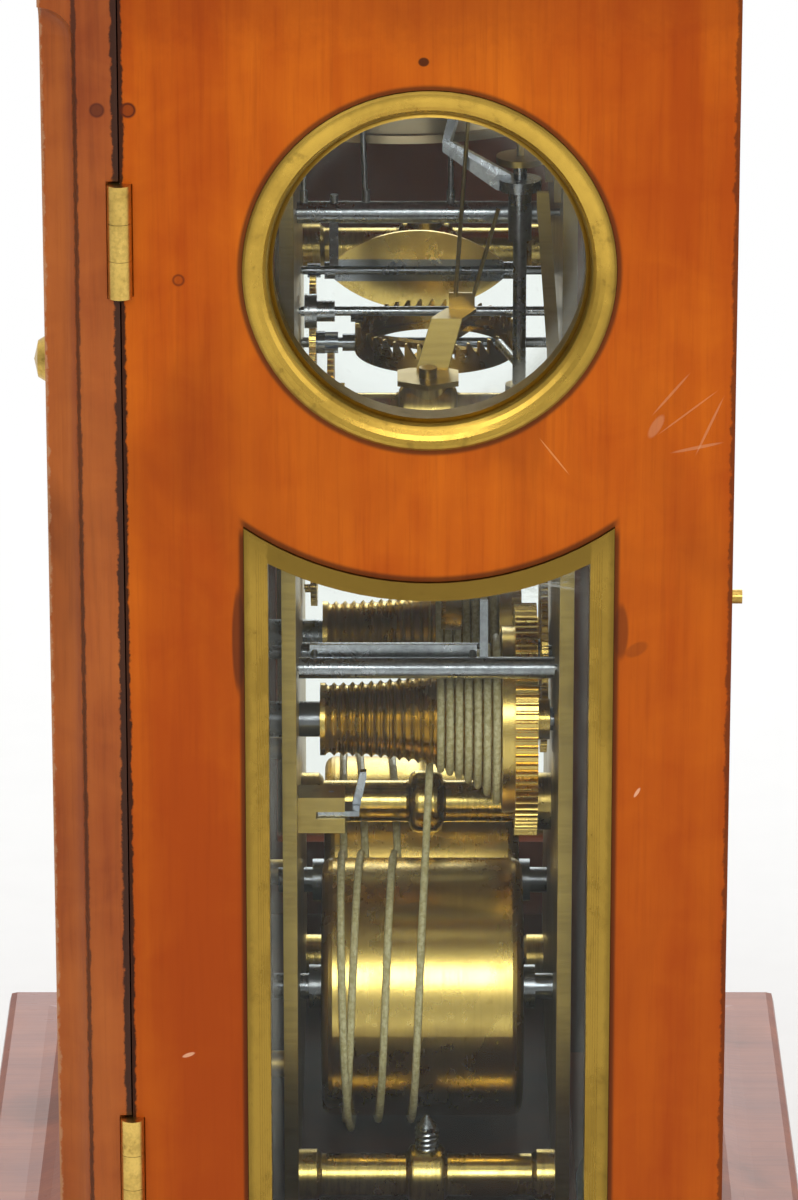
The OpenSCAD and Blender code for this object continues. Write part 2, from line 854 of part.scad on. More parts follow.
// Half section of a turned pillar: a foot at the plate, a shaft, and half of its rounded knop
function half_pillar(r, collar, knop, half_len, edge) = concat(
    [[collar, gap_half], [collar, gap_half - 4], [collar - 0.8, gap_half - 4.8], [r, gap_half - 5.2],
     [r, half_len + 0.6]],
    [for (i = [0:5]) [knop - edge + edge * sin(18 * i), half_len - edge * (1 - cos(18 * i))]]);

module pillar(x, z, r, collar, knop, half_len, edge) {
    one = half_pillar(r, collar, knop, half_len, edge);
    turned_y(x, z, concat([[0, gap_half]], one,
                          [for (i = [len(one) - 1:-1:0]) [one[i][0], -one[i][1]]], [[0, -gap_half]]));
}

module lower_pillars() {
    color("darkgoldenrod")
        both_sides()
            difference() {
                pillar(pillar_x, lower_pillar_z, pillar_r, pillar_r + 1, knop_r - 0.4, 4.1, 1.2);
                z_bar(pillar_x, 0, bolt_r, 0, 200);
            }
}

// Upper pillar: its knop carries an upright post
module upper_pillars() {
    color("darkgoldenrod")
        both_sides() {
            pillar(pillar_x, upper_pillar_z, pillar_r, pillar_r + 1, knop_r - 0.7, 6.3, 1.5);
            z_bar(pillar_x, 0, 4.4, upper_pillar_z, upper_pillar_z + 7.4);
        }
}

module centre_pillar() {
    color("darkgoldenrod")
        pillar(0, centre_pillar_z, pillar_r, pillar_r + 1.8, knop_r, 4, 2.2);
}

// A spring barrel with rounded edges on its own arbor
module barrel(x) {
    edge = 2.5;
    y1 = barrel_y0 + barrel_len;
    color("darkgoldenrod")
        turned_y(x, barrel_z, concat(
            [[0, barrel_y0 - 3]], [[5, barrel_y0 - 3], [5, barrel_y0]],
            [for (i = [0:4]) [barrel_r - edge + edge * sin(22.5 * i), barrel_y0 + edge - edge * cos(22.5 * i)]],
            [for (i = [0:4]) [barrel_r - edge + edge * cos(22.5 * i), y1 - edge + edge * sin(22.5 * i)]],
            [[5, y1], [5, y1 + 3], [0, y1 + 3]]));
    color("slategray")
        y_bar(x, barrel_z, 3, -plate_out - 3, plate_out + 1);
}

module going_barrel() {
    barrel(barrel_x);
}

module strike_barrel() {
    barrel(-barrel_x);
}

// Fusee: its radius grows as the spring's pull falls, so the curve is a hyperbola
fusee_y0 = -gap_half + 5.7;
fusee_y1 = great_y - 3;
fusee_pitch = (fusee_y1 - fusee_y0) / fusee_grooves;
function fusee_radius(t) = 1 / (1 / fusee_small_r + (1 / fusee_large_r - 1 / fusee_small_r) * pow(t, 1.9));
function groove_y(i) = fusee_y0 + (i + 0.5) * fusee_pitch;
function groove_r(i) = fusee_radius((i + 0.5) / fusee_grooves);
groove_depth = gut_d * 0.42;

function fusee_profile() = concat(
    [[0, fusee_y0 - 1], [fusee_small_r, fusee_y0 - 1]],
    [for (i = [0:fusee_grooves - 1], k = [0:4])
        [groove_r(i) + (k == 0 || k == 4 ? 0 : k == 2 ? -groove_depth : -0.75 * groove_depth),
         groove_y(i) + (k - 2) * 0.22 * fusee_pitch]],
    [[fusee_large_r + 1.5, fusee_y1 + 0.2], [fusee_large_r + 1.5, great_y + eps], [0, great_y + eps]]);

// Fusee, great wheel and winding arbor with its square
module fusee(side) {
    x = side * fusee_x;
    at = [x, fusee_z];
    color("goldenrod") {
        turned_y(x, fusee_z, fusee_profile());
        y_slab(great_y, side > 0 ? great_t : strike_great_t)
            translate(at)
                rotate(toward(at, side > 0 ? [0, centre_z] : pin_at))
                    wheel_outline(great_n, great_m);
    }
    color("slategray") {
        y_bar(x, fusee_z, 4, -plate_out - 6, fusee_y0);
        y_bar(x, fusee_z, 1.5, great_y, plate_out - 0.4);
        y_bar(x, fusee_z, 4.6, great_y, gap_half - 1);
        y_bar(x, fusee_z, 2.6, great_y, gap_half - 0.3);
        translate([x - 2.4, dial_y - 1, fusee_z - 2.4])
            cube([4.8, -plate_out - 5 - dial_y, 4.8]);
    }
}

module going_fusee() {
    fusee(1);
}

module strike_fusee() {
    fusee(-1);
}

// Gut line: rings in the fusee's grooves, a straight span, and an open coil on the barrel
gut_r = gut_d / 2;
coil_r = barrel_r + gut_r + gut_gap + 0.12;
span_groove = fusee_grooves - gut_turns - 1;
span_r = groove_r(span_groove) + gut_r - groove_depth + gut_gap;
span_d = [fusee_x - barrel_x, fusee_z - barrel_z];
// the line crosses over, so its tangent leans by this angle
span_lean = acos((coil_r + span_r) / norm(span_d));
span_normal = atan2(span_d[1], span_d[0]) - span_lean;
coil_pitch = 7.5;
coil_turns = 3.55;
coil_side = 8;
coil_y0 = -1.2;
// the last turn crosses over the one before it, and dips to its end
function ease(t, a, b) = let (k = min(1, max(0, (t - a) / (b - a)))) k * k * (3 - 2 * k);
function coil_y(t) = coil_y0 - coil_pitch * min(t, 2.3) - 0.9 * ease(t, 2.3, 2.95) + 2.9 * ease(t, 2.95, 3.5);
function coil_lift(t) = 1.12 * gut_d * (ease(t, 2.93, 3.08) - ease(t, 3.37, 3.5));
function coil_point(t) = let (a = span_normal - 360 * t, r = coil_r + coil_lift(t))
    [barrel_x + r * cos(a), coil_y(t), barrel_z + r * sin(a)];
function coil_ring(t) = let (p = coil_point(t), a = span_normal - 360 * t)
    [for (k = [0:coil_side - 1]) let (w = 360 * k / coil_side)
        p + gut_r * (cos(w) * [cos(a), 0, sin(a)] + sin(w) * [0, 1, 0])];

module coil() {
    rings = 104;
    n = coil_side;
    points = [for (i = [0:rings], q = coil_ring(coil_turns * i / rings)) q];
    sides = [for (i = [0:rings - 1], k = [0:n - 1])
        [i * n + k, i * n + (k + 1) % n, (i + 1) * n + (k + 1) % n, (i + 1) * n + k]];
    polyhedron(points, concat([[for (k = [n - 1:-1:0]) k]], sides, [[for (k = [0:n - 1]) rings * n + k]]));
}

module gut() {
    touch_barrel = coil_point(0);
    touch_fusee = [fusee_x - span_r * cos(span_normal), groove_y(span_groove), fusee_z - span_r * sin(span_normal)];
    color("khaki") {
        for (i = [0:gut_turns - 1])
            translate([fusee_x, groove_y(span_groove + 1 + i), fusee_z])
                rotate([-90, 0, 0])
                    rotate_extrude()
                        translate([groove_r(span_groove + 1 + i) + gut_r - groove_depth + gut_gap, 0])
                            circle(r = gut_r, $fn = 12);
        rod(touch_barrel, touch_fusee, gut_r);
        coil();
    }
}

module going_gut() {
    gut();
}

module strike_gut() {
    mirror([1, 0, 0])
        gut();
}

// Centre arbor: pinion, centre wheel, and the long front end that carries the minute hand
module centre_wheel() {
    at = [0, centre_z];
    color("goldenrod")
        train_wheel(at, centre_wheel_y, wheel_t, great_n, centre_m, toward(at, [0, contrate_z]));
    color("slategray") {
        // clear of the strike fusee's thinner wheel
        pinion(at, great_y + strike_great_t + 0.4, great_t + 1.6 - strike_great_t, great_pinion_n, great_m,
               gap_turn(toward([fusee_x, fusee_z], at), great_pinion_n));
        y_bar(0, centre_z, 1.6, -plate_out - 4, plate_out - 0.4);
        y_bar(0, centre_z, 2.2, -gap_half + 0.3, great_y - 0.3);
        y_bar(0, centre_z, 1.2, dial_y - 9, 0);
        // cannon wheel and pipe for the minute hand
        y_bar(0, centre_z, 2, dial_y - 7, motion_y + motion_t);
    }
    color("goldenrod")
        y_slab(motion_y, motion_t)
            translate(at)
                rotate(toward(at, motion_at))
                    wheel_outline(motion_n, motion_m);
}

motion_t = 1.6;
motion_at = [0, centre_z - motion_c];

module motion_wheel() {
    color("goldenrod") {
        y_slab(motion_y, motion_t)
            translate(motion_at)
                rotate(90 + 180 / motion_n)
                    difference() {
                        wheel_outline(motion_n, motion_m);
                        circle(r = 1 + run_gap);
                    }
        y_slab(hour_y, motion_y - hour_y)
            translate(motion_at)
                rotate(90 + 180 / hour_pinion_n)
                    difference() {
                        pinion_outline(hour_pinion_n, hour_m);
                        circle(r = 1 + run_gap);
                    }
    }
}

hour_y = motion_y - 4;

// Hour wheel with its pipe and the snail that sets the count of the strike
module hour_wheel() {
    at = [0, centre_z];
    steps = 12;
    color("goldenrod")
        difference() {
            union() {
                y_slab(hour_y + 0.4, motion_t)
                    translate(at)
                        rotate(toward(at, motion_at))
                            wheel_outline(hour_n, hour_m);
                y_bar(0, centre_z, 3.2, dial_y - 3.4, hour_y + 1);
                y_slab(hour_y - 3, 2)
                    translate(at)
                        polygon([for (i = [0:steps - 1], k = [0:4])
                            (17 - 0.75 * i) * [cos((i + k / 4) * 360 / steps), sin((i + k / 4) * 360 / steps)]]);
            }
            y_bar(0, centre_z, 2 + run_gap, dial_y - 10, 0);
        }
}

// Contrate wheel: its teeth stand forward from the rim to drive the crown wheel's pinion
crown_pinion_n = 8;
crown_pinion_r = crown_pinion_n * contrate_m / 2;
contrate_tip_y = crown_y + crown_pinion_r - 0.95 * contrate_m + 0.1;
contrate_pitch_y = contrate_tip_y + 0.95 * contrate_m;
contrate_rim_y = contrate_pitch_y + 1.3 * contrate_m;

module contrate_wheel() {
    at = [0, contrate_z];
    pitch = 3.14159 * contrate_m;
    color("goldenrod") {
        y_slab(contrate_rim_y + 2, wheel_t)
            translate(at)
                difference() {
                    circle(r = contrate_r + 0.5);
                    for (i = [0:3])
                        rotate(i * 90)
                            crossing(contrate_r - 2, 3.4, 4, 2.2);
                }
        difference() {
            y_bar(0, contrate_z, contrate_r + 0.5, contrate_rim_y - eps, contrate_rim_y + 2.1);
            y_bar(0, contrate_z, contrate_r - 0.5, contrate_rim_y - 1, contrate_rim_y + 3);
        }
        for (i = [0:contrate_n - 1])
            translate([0, 0, contrate_z])
                rotate([0, (i + 0.5) * 360 / contrate_n, 0])
                    translate([0, 0, contrate_r - 0.4])
                        linear_extrude(0.8)
                            polygon([[-0.2 * pitch, contrate_rim_y], [-0.2 * pitch, contrate_pitch_y],
                                     [-0.07 * pitch, contrate_tip_y], [0.07 * pitch, contrate_tip_y],
                                     [0.2 * pitch, contrate_pitch_y], [0.2 * pitch, contrate_rim_y]]);
    }
    color("slategray") {
        arbor(at, 1.4);
        pinion(at, centre_wheel_y - 1, wheel_t + 2, 8, centre_m, gap_turn(90, 8));
    }
}

// Crown wheel: saw teeth that stand up from a band, on an upright arbor
crown_band_h = 3.2;
crown_tooth_h = 3.4;
crown_floor_z = crown_tip_z - crown_tooth_h - crown_band_h;
crown_pivot_z = contrate_z + contrate_r - 3.4;

module crown_wheel() {
    arc = 2 * 3.14159 * crown_r / crown_n;
    color("goldenrod")
        translate([0, crown_y, 0]) {
            difference() {
                z_bar(0, 0, crown_r, crown_floor_z, crown_tip_z - crown_tooth_h);
                z_bar(0, 0, crown_r - 1, crown_floor_z - 1, crown_tip_z);
            }
            for (i = [0:crown_n - 1])
                rotate([0, 0, i * 360 / crown_n])
                    translate([crown_r - 0.05, 0, crown_tip_z - crown_tooth_h - eps])
                        rotate([90, 0, -90])
                            linear_extrude(0.9)
                                polygon([[-0.45 * arc, 0], [0.45 * arc, 0], [0.45 * arc, crown_tooth_h * 0.3],
                                         [0.42 * arc, crown_tooth_h], [0.3 * arc, crown_tooth_h]]);
            translate([0, 0, crown_floor_z])
                linear_extrude(1.4)
                    difference() {
                        circle(r = crown_r - 0.5);
                        for (i = [0:3])
                            rotate(i * 90 + 20)
                                crossing(crown_r - 2, 3, 4, 2.4);
                    }
            z_bar(0, 0, 2.4, crown_floor_z - 3, crown_floor_z + 2.2);
        }
    color("slategray")
        translate([0, crown_y, 0]) {
            z_bar(0, 0, 1.1, crown_pivot_z + 2.4, crown_floor_z);
            z_bar(0, 0, 0.6, crown_pivot_z - 1.8, crown_pivot_z + 3);
            translate([0, 0, contrate_z + contrate_r - 2.4])
                linear_extrude(4.6)
                    rotate(90)
                        pinion_outline(crown_pinion_n, contrate_m);
        }
}

// Bracket from the front plate with the crown wheel's two bearings
potence_t = 2.6;
upper_bearing_z = crown_floor_z - 21.8;

module potence() {
    color("darkgoldenrod")
        difference() {
            union() {
                for (z = [crown_pivot_z - potence_t + 0.6, upper_bearing_z])
                    translate([0, 0, z])
                        linear_extrude(potence_t) {
                            translate([-3, -gap_half])
                                square([6, gap_half + crown_y]);
                            translate([0, crown_y])
                                circle(r = 1.7);
                        }
                box([-5, -gap_half, crown_pivot_z - 6], [5, -gap_half + 2.4, upper_bearing_z + potence_t + 5]);
            }
            z_bar(0, crown_y, 1.1 + run_gap, upper_bearing_z - 1, upper_bearing_z + potence_t + 1);
            z_bar(0, crown_y, 0.6 + run_gap, crown_pivot_z - potence_t, crown_pivot_z + 2);
            translate([-4, crown_y + 1.2, crown_pivot_z - 3])
                cube([8, 4, 6]);
        }
}

// Verge: a staff with two pallets over the crown wheel
pallet_len = 2.7;

module verge() {
    color("slategray") {
        y_bar(0, verge_z, 1.1, -gap_half + 0.3, gap_half - 0.3);
        y_bar(0, verge_z, 0.8, -plate_out + 0.4, plate_out + 18.6);
        for (side = [-1, 1])
            translate([0, crown_y + side * (crown_r - 0.5), verge_z])
                rotate([0, side * 50, 0])
                    box([-0.35, -1.4, -pallet_len], [0.35, 1.4, 0]);
    }
    color("goldenrod") {
        y_bar(0, verge_z, 3.9, -gap_half + 1.2, -gap_half + 4);
        y_bar(0, verge_z, 2.4, -gap_half + 4, -gap_half + 8);
    }
}

// Rod and bob swing behind the back plate
pendulum_y = plate_out + 9;
bob_z = verge_z - pendulum_len;
rod_r = 1.1;

module pendulum_rod() {
    color("slategray") {
        z_bar(0, pendulum_y, rod_r, bob_z - bob_r - 10, verge_z - 2);
        z_bar(0, pendulum_y, 2, bob_z + bob_r + 7, bob_z + bob_r + 12);
    }
    color("goldenrod")
        difference() {
            y_bar(0, verge_z, 3, pendulum_y - 2.4, pendulum_y + 2.4);
            y_bar(0, verge_z, 0.8, pendulum_y - 3, pendulum_y + 3);
        }
}

// Lens-shaped bob that screws up and down the rod
module pendulum_bob() {
    thick = 6;
    color("goldenrod")
        difference() {
            union() {
                translate([0, pendulum_y, bob_z])
                    rotate([-90, 0, 0])
                        rotate_extrude()
                            polygon([[0, -thick], [0.5 * bob_r, -0.85 * thick], [0.85 * bob_r, -0.4 * thick],
                                     [bob_r, -0.6], [bob_r, 0.6], [0.85 * bob_r, 0.4 * thick],
                                     [0.5 * bob_r, 0.85 * thick], [0, thick]]);
                z_bar(0, pendulum_y, 3, bob_z - bob_r - 4, bob_z - bob_r + 3);
            }
            z_bar(0, pendulum_y, rod_r + run_gap, bob_z - 2 * bob_r, bob_z + 2 * bob_r);
        }
}

// Cock that carries the verge's rear pivot
cock_y = plate_out + 16;

module back_cock() {
    color("darkgoldenrod")
        difference() {
            union() {
                y_slab(cock_y, 2.6)
                    polygon([[-24, verge_z - 6], [-16, verge_z + 4], [-7, verge_z + 9], [7, verge_z + 9],
                             [16, verge_z + 4], [24, verge_z - 6], [24, verge_z - 12], [16, verge_z - 12],
                             [9, verge_z - 5], [-9, verge_z - 5], [-16, verge_z - 12], [-24, verge_z - 12]]);
                for (side = [-1, 1])
                    y_bar(side * 20, verge_z - 8, 3.4, plate_out, cock_y);
            }
            y_bar(0, verge_z, 0.8 + run_gap, cock_y - 1, cock_y + 4);
        }
}

// Strike train
module pin_wheel() {
    pins = 8;
    color("goldenrod")
        train_wheel(pin_at, pin_wheel_y, wheel_t, pin_n, pin_m, toward(pin_at, hoop_at));
    color("slategray") {
        arbor(pin_at, 0.95);
        pinion(pin_at, great_y - 0.5, great_t + 1, great_pinion_n, great_m, gap_turn(toward(strike_at, pin_at), great_pinion_n));
        for (i = [0:pins - 1])
            translate([pin_at[0], 0, pin_at[1]])
                rotate([0, i * 360 / pins, 0])
                    y_bar(0, pin_n * pin_m / 2 - 2.2, 0.6, pin_wheel_y - 1.5, pin_wheel_y + 0.5);
    }
}

module hoop_wheel() {
    color("goldenrod") {
        train_wheel(hoop_at, hoop_wheel_y, wheel_t, hoop_n, hoop_m, toward(hoop_at, warn_at));
        // the hoop, with the gap in which the strike locks
        difference() {
            y_bar(hoop_at[0], hoop_at[1], 10, hoop_wheel_y + wheel_t - 0.2, hoop_wheel_y + wheel_t + 2.4);
            y_bar(hoop_at[0], hoop_at[1], 9, hoop_wheel_y, hoop_wheel_y + 6);
            box([hoop_at[0] - 2, hoop_wheel_y + wheel_t, hoop_at[1]], [hoop_at[0] + 2, hoop_wheel_y + 6, hoop_at[1] + 12]);
        }
        y_slab(hoop_wheel_y + wheel_t - 0.3, 0.6)
            translate(hoop_at)
                difference() {
                    circle(r = 10);
                    circle(r = 8.4);
                }
    }
    color("slategray") {
        arbor(hoop_at, 1.4);
        pinion(hoop_at, pin_wheel_y - 0.6, wheel_t + 1.6, pin_pinion_n, pin_m, gap_turn(toward(pin_at, hoop_at), pin_pinion_n));
    }
}

module warning_wheel() {
    color("goldenrod") {
        train_wheel(warn_at, warn_wheel_y, wheel_t, warn_n, warn_m, toward(warn_at, fly_at));
        y_bar(warn_at[0], warn_at[1], 2.6, warn_wheel_y + wheel_t - 0.2, warn_wheel_y + wheel_t + 2);
        y_bar(warn_at[0], warn_at[1], 2, hoop_wheel_y + 3.5, hoop_wheel_y + 6.5);
    }
    color("slategray") {
        arbor(warn_at, 1.2);
        pinion(warn_at, hoop_wheel_y - 0.5, wheel_t + 1.5, hoop_pinion_n, hoop_m, gap_turn(toward(hoop_at, warn_at), hoop_pinion_n));
    }
}

// Fly: a broad oval vane with collars on a thin arbor
fly_half_len = 21.5;
fly_half_h = 9.4;
// the vane is where two round outlines of this radius meet
fly_round_r = (fly_half_len * fly_half_len + fly_half_h * fly_half_h) / (2 * fly_half_h);

module fly() {
    color("goldenrod") {
        translate([fly_at[0] - 0.8, -1.8, fly_at[1]])
            rotate([0, 90, 0])
                linear_extrude(0.8)
                    intersection_for(side = [-1, 1])
                        translate([side * (fly_round_r - fly_half_h), 0])
                            circle(r = fly_round_r);
        for (y = [-fly_half_len - 1.8, fly_half_len - 3.8])
            y_bar(fly_at[0], fly_at[1], 2, y, y + 2.4);
    }
    color("slategray") {
        arbor(fly_at, 1);
        pinion(fly_at, warn_wheel_y - 0.5, wheel_t + 1.5, warn_pinion_n, warn_m, gap_turn(toward(warn_at, fly_at), warn_pinion_n));
    }
}

// Hammer: an upright arbor with a brass collet and a cranked steel arm outside the bell
hammer_foot_z = 286;
hammer_hub_z = 331;
hammer_knee = [48, 3.9, 339];
hammer_elbow = [46, 6.1, bell_z + 10];
hammer_head = [39.5, 4.3, bell_z + 14];

module hammer() {
    color("slategray") {
        z_bar(hammer_x, hammer_y, 1.45, hammer_foot_z, hammer_hub_z + 4.6);
        z_bar(hammer_x, hammer_y, 0.8, hammer_foot_z - 2, hammer_hub_z + 5.3);
        z_bar(hammer_x, hammer_y, 4.6, hammer_hub_z - 1.2, hammer_hub_z + 1.2);
        // forged arm, tapered towards its knee
        hull() {
            box([hammer_x - 1.4, hammer_y - 5, hammer_hub_z - 1.3], [hammer_x + 0.8, hammer_y - 2, hammer_hub_z + 2.2]);
            box(hammer_knee - [1.2, 0.8, 1.2], hammer_knee + [0.8, 0.8, 1.2]);
        }
        hull() {
            box(hammer_knee - [1.2, 0.8, 1.2], hammer_knee + [0.8, 0.8, 1.2]);
            box(hammer_elbow - [1, 1.1, 0.8], hammer_elbow + [0.8, 1.1, 0.8]);
        }
        rod(hammer_elbow, hammer_head, 1.1);
        rod([hammer_x, hammer_y, hammer_foot_z + 4], [hammer_x - 16, hammer_y - 4, hammer_foot_z + 4], 1);
    }
    color("goldenrod") {
        z_bar(hammer_x, hammer_y, 2.5, hammer_hub_z - 12.4, hammer_hub_z - 1);
        translate(hammer_head)
            rotate([0, 90, atan2(hammer_head[1] - bell_y, hammer_head[0] - bell_x)])
                cylinder(h = 6.6, r = 3.6, center = true);
    }
}

// Foot of the hammer's springs: a six-sided plate on the pillar's knop, a strap and two wires
spring_foot_z = upper_pillar_z + 7.4;

module hammer_spring() {
    x = pillar_x;
    z = spring_foot_z;
    color("goldenrod") {
        translate([x, 0, z])
            linear_extrude(1.2)
                polygon([[6.5, 0], [3, 6.6], [-5, 6.6], [-6.5, 4], [-6.5, -4], [-5, -6.6], [3, -6.6]]);
        hull() {
            box([x - 6.3, -2.4, z + 1], [x - 5.3, 4.4, z + 1.6]);
            box([x - 8.6, 0.8, z + 11.4], [x - 7.6, 7.4, z + 12]);
        }
        hull() {
            box([x - 8.6, 0.8, z + 11.2], [x - 7.8, 7.4, z + 12]);
            box([x - 15.6, 4.2, z + 11.2], [x - 15, 10.6, z + 12]);
        }
        box([x - 15.6, 4.6, z + 11.4], [x - 14.8, 10.2, z + 15.6]);
        rod([x - 15.2, 6, z + 14.6], [x - 10.1, 8.6, z + 56], 0.45);
        rod([x - 15.2, 9.8, z + 14.6], [x - 13.2, 15.2, z + 35], 0.45);
    }
    color("midnightblue")
        z_bar(x, 0, 1.9, z + 1, z + 3.4);
}

// Cock at the top of the hammer's arbor: a disc on an arm from the back plate
module hammer_cock() {
    z = hammer_hub_z + 4.9;
    color("darkgoldenrod") {
        difference() {
            union() {
                z_bar(hammer_x, hammer_y, 5.2, z, z + 1.4);
                box([hammer_x - 2.5, hammer_y, z], [hammer_x + 2.5, gap_half, z + 1.4]);
            }
            z_bar(hammer_x, hammer_y, 0.8 + run_gap, z - 1, z + 0.9);
        }
        z_bar(hammer_x, hammer_y, 0.8, z + 1, z + 5);
        box([hammer_x - 4, gap_half - 1.6, z - 8], [hammer_x + 4, gap_half, z + 1.4]);
        // springy stop strip, riveted inside the back plate
        hull() {
            box([59, gap_half - 2.6, 290.6], [60.4, gap_half, 293.6]);
            box([59, gap_half - 5.4, 329], [60.4, gap_half - 2.8, 332]);
        }
        // bearing for the arbor's foot
        difference() {
            union() {
                z_bar(hammer_x, hammer_y, 3, hammer_foot_z - 2.2, hammer_foot_z - 0.3);
                box([hammer_x - 2.5, hammer_y, hammer_foot_z - 2.2], [hammer_x + 2.5, gap_half, hammer_foot_z - 0.3]);
            }
            z_bar(hammer_x, hammer_y, 0.8 + run_gap, hammer_foot_z - 3, hammer_foot_z);
        }
    }
}

// Bell: a thin cup, mouth down
bell_wall = 1.6;

module bell() {
    h = 30;
    outer = [for (i = [0:8]) [bell_r * cos(10 * i), h * sin(10 * i)]];
    inner = [for (i = [8:-1:0]) [(bell_r - bell_wall) * cos(10 * i), (h - bell_wall) * sin(10 * i) - (i == 0 ? 0.01 : 0)]];
    color("peru")
        translate([bell_x, bell_y, bell_z])
            rotate_extrude()
                difference() {
                    union() {
                        polygon(concat([[0, 0]], outer, [[0, h]]));
                        translate([bell_r - 2, 0])
                            square([3.4, 1.8]);
                    }
                    polygon(concat([[0, -1], [bell_r - bell_wall, -1]], [for (i = [0:8]) inner[8 - i]], [[0, h - bell_wall]]));
                    square([2.2, 100]);
                }
}

// Stand that holds the bell by its crown
module bell_stand() {
    color("darkgoldenrod") {
        box([bell_x - 4, gap_half - 2.2, plate_top_z - 20], [bell_x + 4, gap_half, plate_top_z - 2]);
        rod([bell_x, gap_half - 1.4, plate_top_z - 5], [bell_x, bell_y, plate_top_z - 9], 1.8);
        z_bar(bell_x, bell_y, 2, plate_top_z - 10.5, bell_z + 34);
        z_bar(bell_x, bell_y, 5, bell_z + 30.1, bell_z + 32.4);
        z_bar(bell_x, bell_y, 3.4, bell_z + 32.4, bell_z + 36);
    }
}

// Lifting arbor: a steel bar across the movement with upright wires and a short leaf
lift_wires = [[-26.9, 0, 22], [-13.4, 0.8, 22], [5, 0, 18]];

module lever_arbor() {
    color("slategray") {
        arbor([lever_x, lever_z], 2.4, -gap_half + 0.3, gap_half - 3.4);
        for (w = lift_wires) {
            rod([lever_x, w[0], lever_z], [lever_x, w[0] - w[1], lever_z + w[2]], 0.6);
            z_bar(lever_x, w[0], 0.9, lever_z, lever_z + 5);
        }
        z_bar(lever_x, -20.3, 0.9, lever_z, lever_z + 4);
        box([lever_x - 0.6, -21.4, lever_z - 12], [lever_x + 0.6, -19.4, lever_z]);
    }
}

// Detent arbor: a plain steel bar in front of the fusee, with a short lever behind it
module detent_arbor() {
    color("slategray") {
        arbor([detent_x, detent_z], 2.4, -gap_half + 0.3, gap_half - 0.6);
        hull() {
            box([detent_x - 2, 11.6, detent_z - 1], [detent_x, 13.4, detent_z + 1]);
            box([detent_x - 3, 11.6, detent_z + 13], [detent_x - 1.6, 13.4, detent_z + 15]);
        }
        box([detent_x - 3, -26, detent_z + 1.8], [detent_x - 2, 11, detent_z + 4.6]);
        for (y = [-25, 10])
            rod([detent_x, y, detent_z], [detent_x - 2.5, y, detent_z + 3], 0.8);
    }
}

// Fusee stop: a brass block on the front plate with a steel lever under the gut
block_x = 50;
block_z = 186.3;

module stop_block() {
    difference() {
        box([block_x - 4, -gap_half, block_z - 4.2], [block_x + 4, -gap_half + 10.4, block_z + 4.2]);
        box([block_x - 5, -gap_half + 4, block_z - 0.8], [block_x + 5, -gap_half + 11, block_z + 0.8]);
        y_hole_x(block_x, block_z);
    }
}

// Cross hole for the lever's pin
module y_hole_x(x, z) {
    z_bar(x, -gap_half + 7.4, 0.6 + run_gap, z - 6, z + 6);
}

module stop_lever() {
    color("slategray") {
        box([block_x - 3, -gap_half + 4.4, block_z - 0.6], [block_x + 3, -gap_half + 13.6, block_z + 0.6]);
        z_bar(block_x, -gap_half + 7.4, 0.6, block_z - 4.2, block_z + 4.2);
        hull() {
            box([block_x - 3, -gap_half + 12, block_z - 0.6], [block_x - 1, -gap_half + 13.6, block_z + 0.6]);
            box([block_x - 3, -gap_half + 13.8, block_z + 7], [block_x - 1, -gap_half + 15.2, block_z + 8.4]);
        }
    }
}

// Break-arch dial on four feet, with a raised numeral ring
module dial() {
    color("ivory")
        difference() {
            y_slab(dial_y, dial_t)
                arched(glass_half_w + 2, dial_foot_z - 2, arch_spring_z, arch_r);
            y_bar(0, centre_z, 3.2 + 0.3, dial_y - 1, dial_y + 3);
            for (side = [-1, 1])
                y_bar(side * fusee_x, fusee_z, 4.2, dial_y - 1, dial_y + 3);
        }
    color("darkgoldenrod")
        for (sx = [-1, 1], z = [dial_foot_z + 24, dial_foot_z + 196])
            y_bar(sx * 58, z, 3, dial_y + dial_t, -plate_out);
}

// Hands: pierced outlines on round bosses
module hand(len, boss, y, t, wide, bore) {
    eye = centre_z + len * 0.68;
    difference() {
        union() {
            y_bar(0, centre_z, boss, y, y + t);
            y_bar(0, eye, wide, y, y + t);
            y_slab(y, t)
                polygon([[-1.6, centre_z - len * 0.18], [-1.2, centre_z + 1], [-0.8, eye - wide + 0.6],
                         [0.8, eye - wide + 0.6], [1.2, centre_z + 1], [1.6, centre_z - len * 0.18]]);
            y_slab(y, t)
                polygon([[-1.5, eye + wide * 0.82], [0, centre_z + len], [1.5, eye + wide * 0.82]]);
        }
        y_bar(0, eye, wide - 1.1, y - 1, y + t + 1);
        y_bar(0, centre_z, bore, y - 1, y + t + 1);
    }
}

module minute_hand() {
    color("midnightblue")
        hand(dial_r - 10, 4.5, dial_y - 6, 1, 3.2, 2);
}

module hour_hand() {
    color("midnightblue")
        translate([0, 0, centre_z])
            rotate([0, -60, 0])
                translate([0, 0, -centre_z])
                    hand(dial_r * 0.6, 5.6, dial_y - 3.2, 1, 4.6, 3.2);
}

// The movement is drawn round its own middle; this puts the base's middle at the origin
module placed() {
    translate([0, -(door_face_y + half_d) / 2, 0])
        children();
}

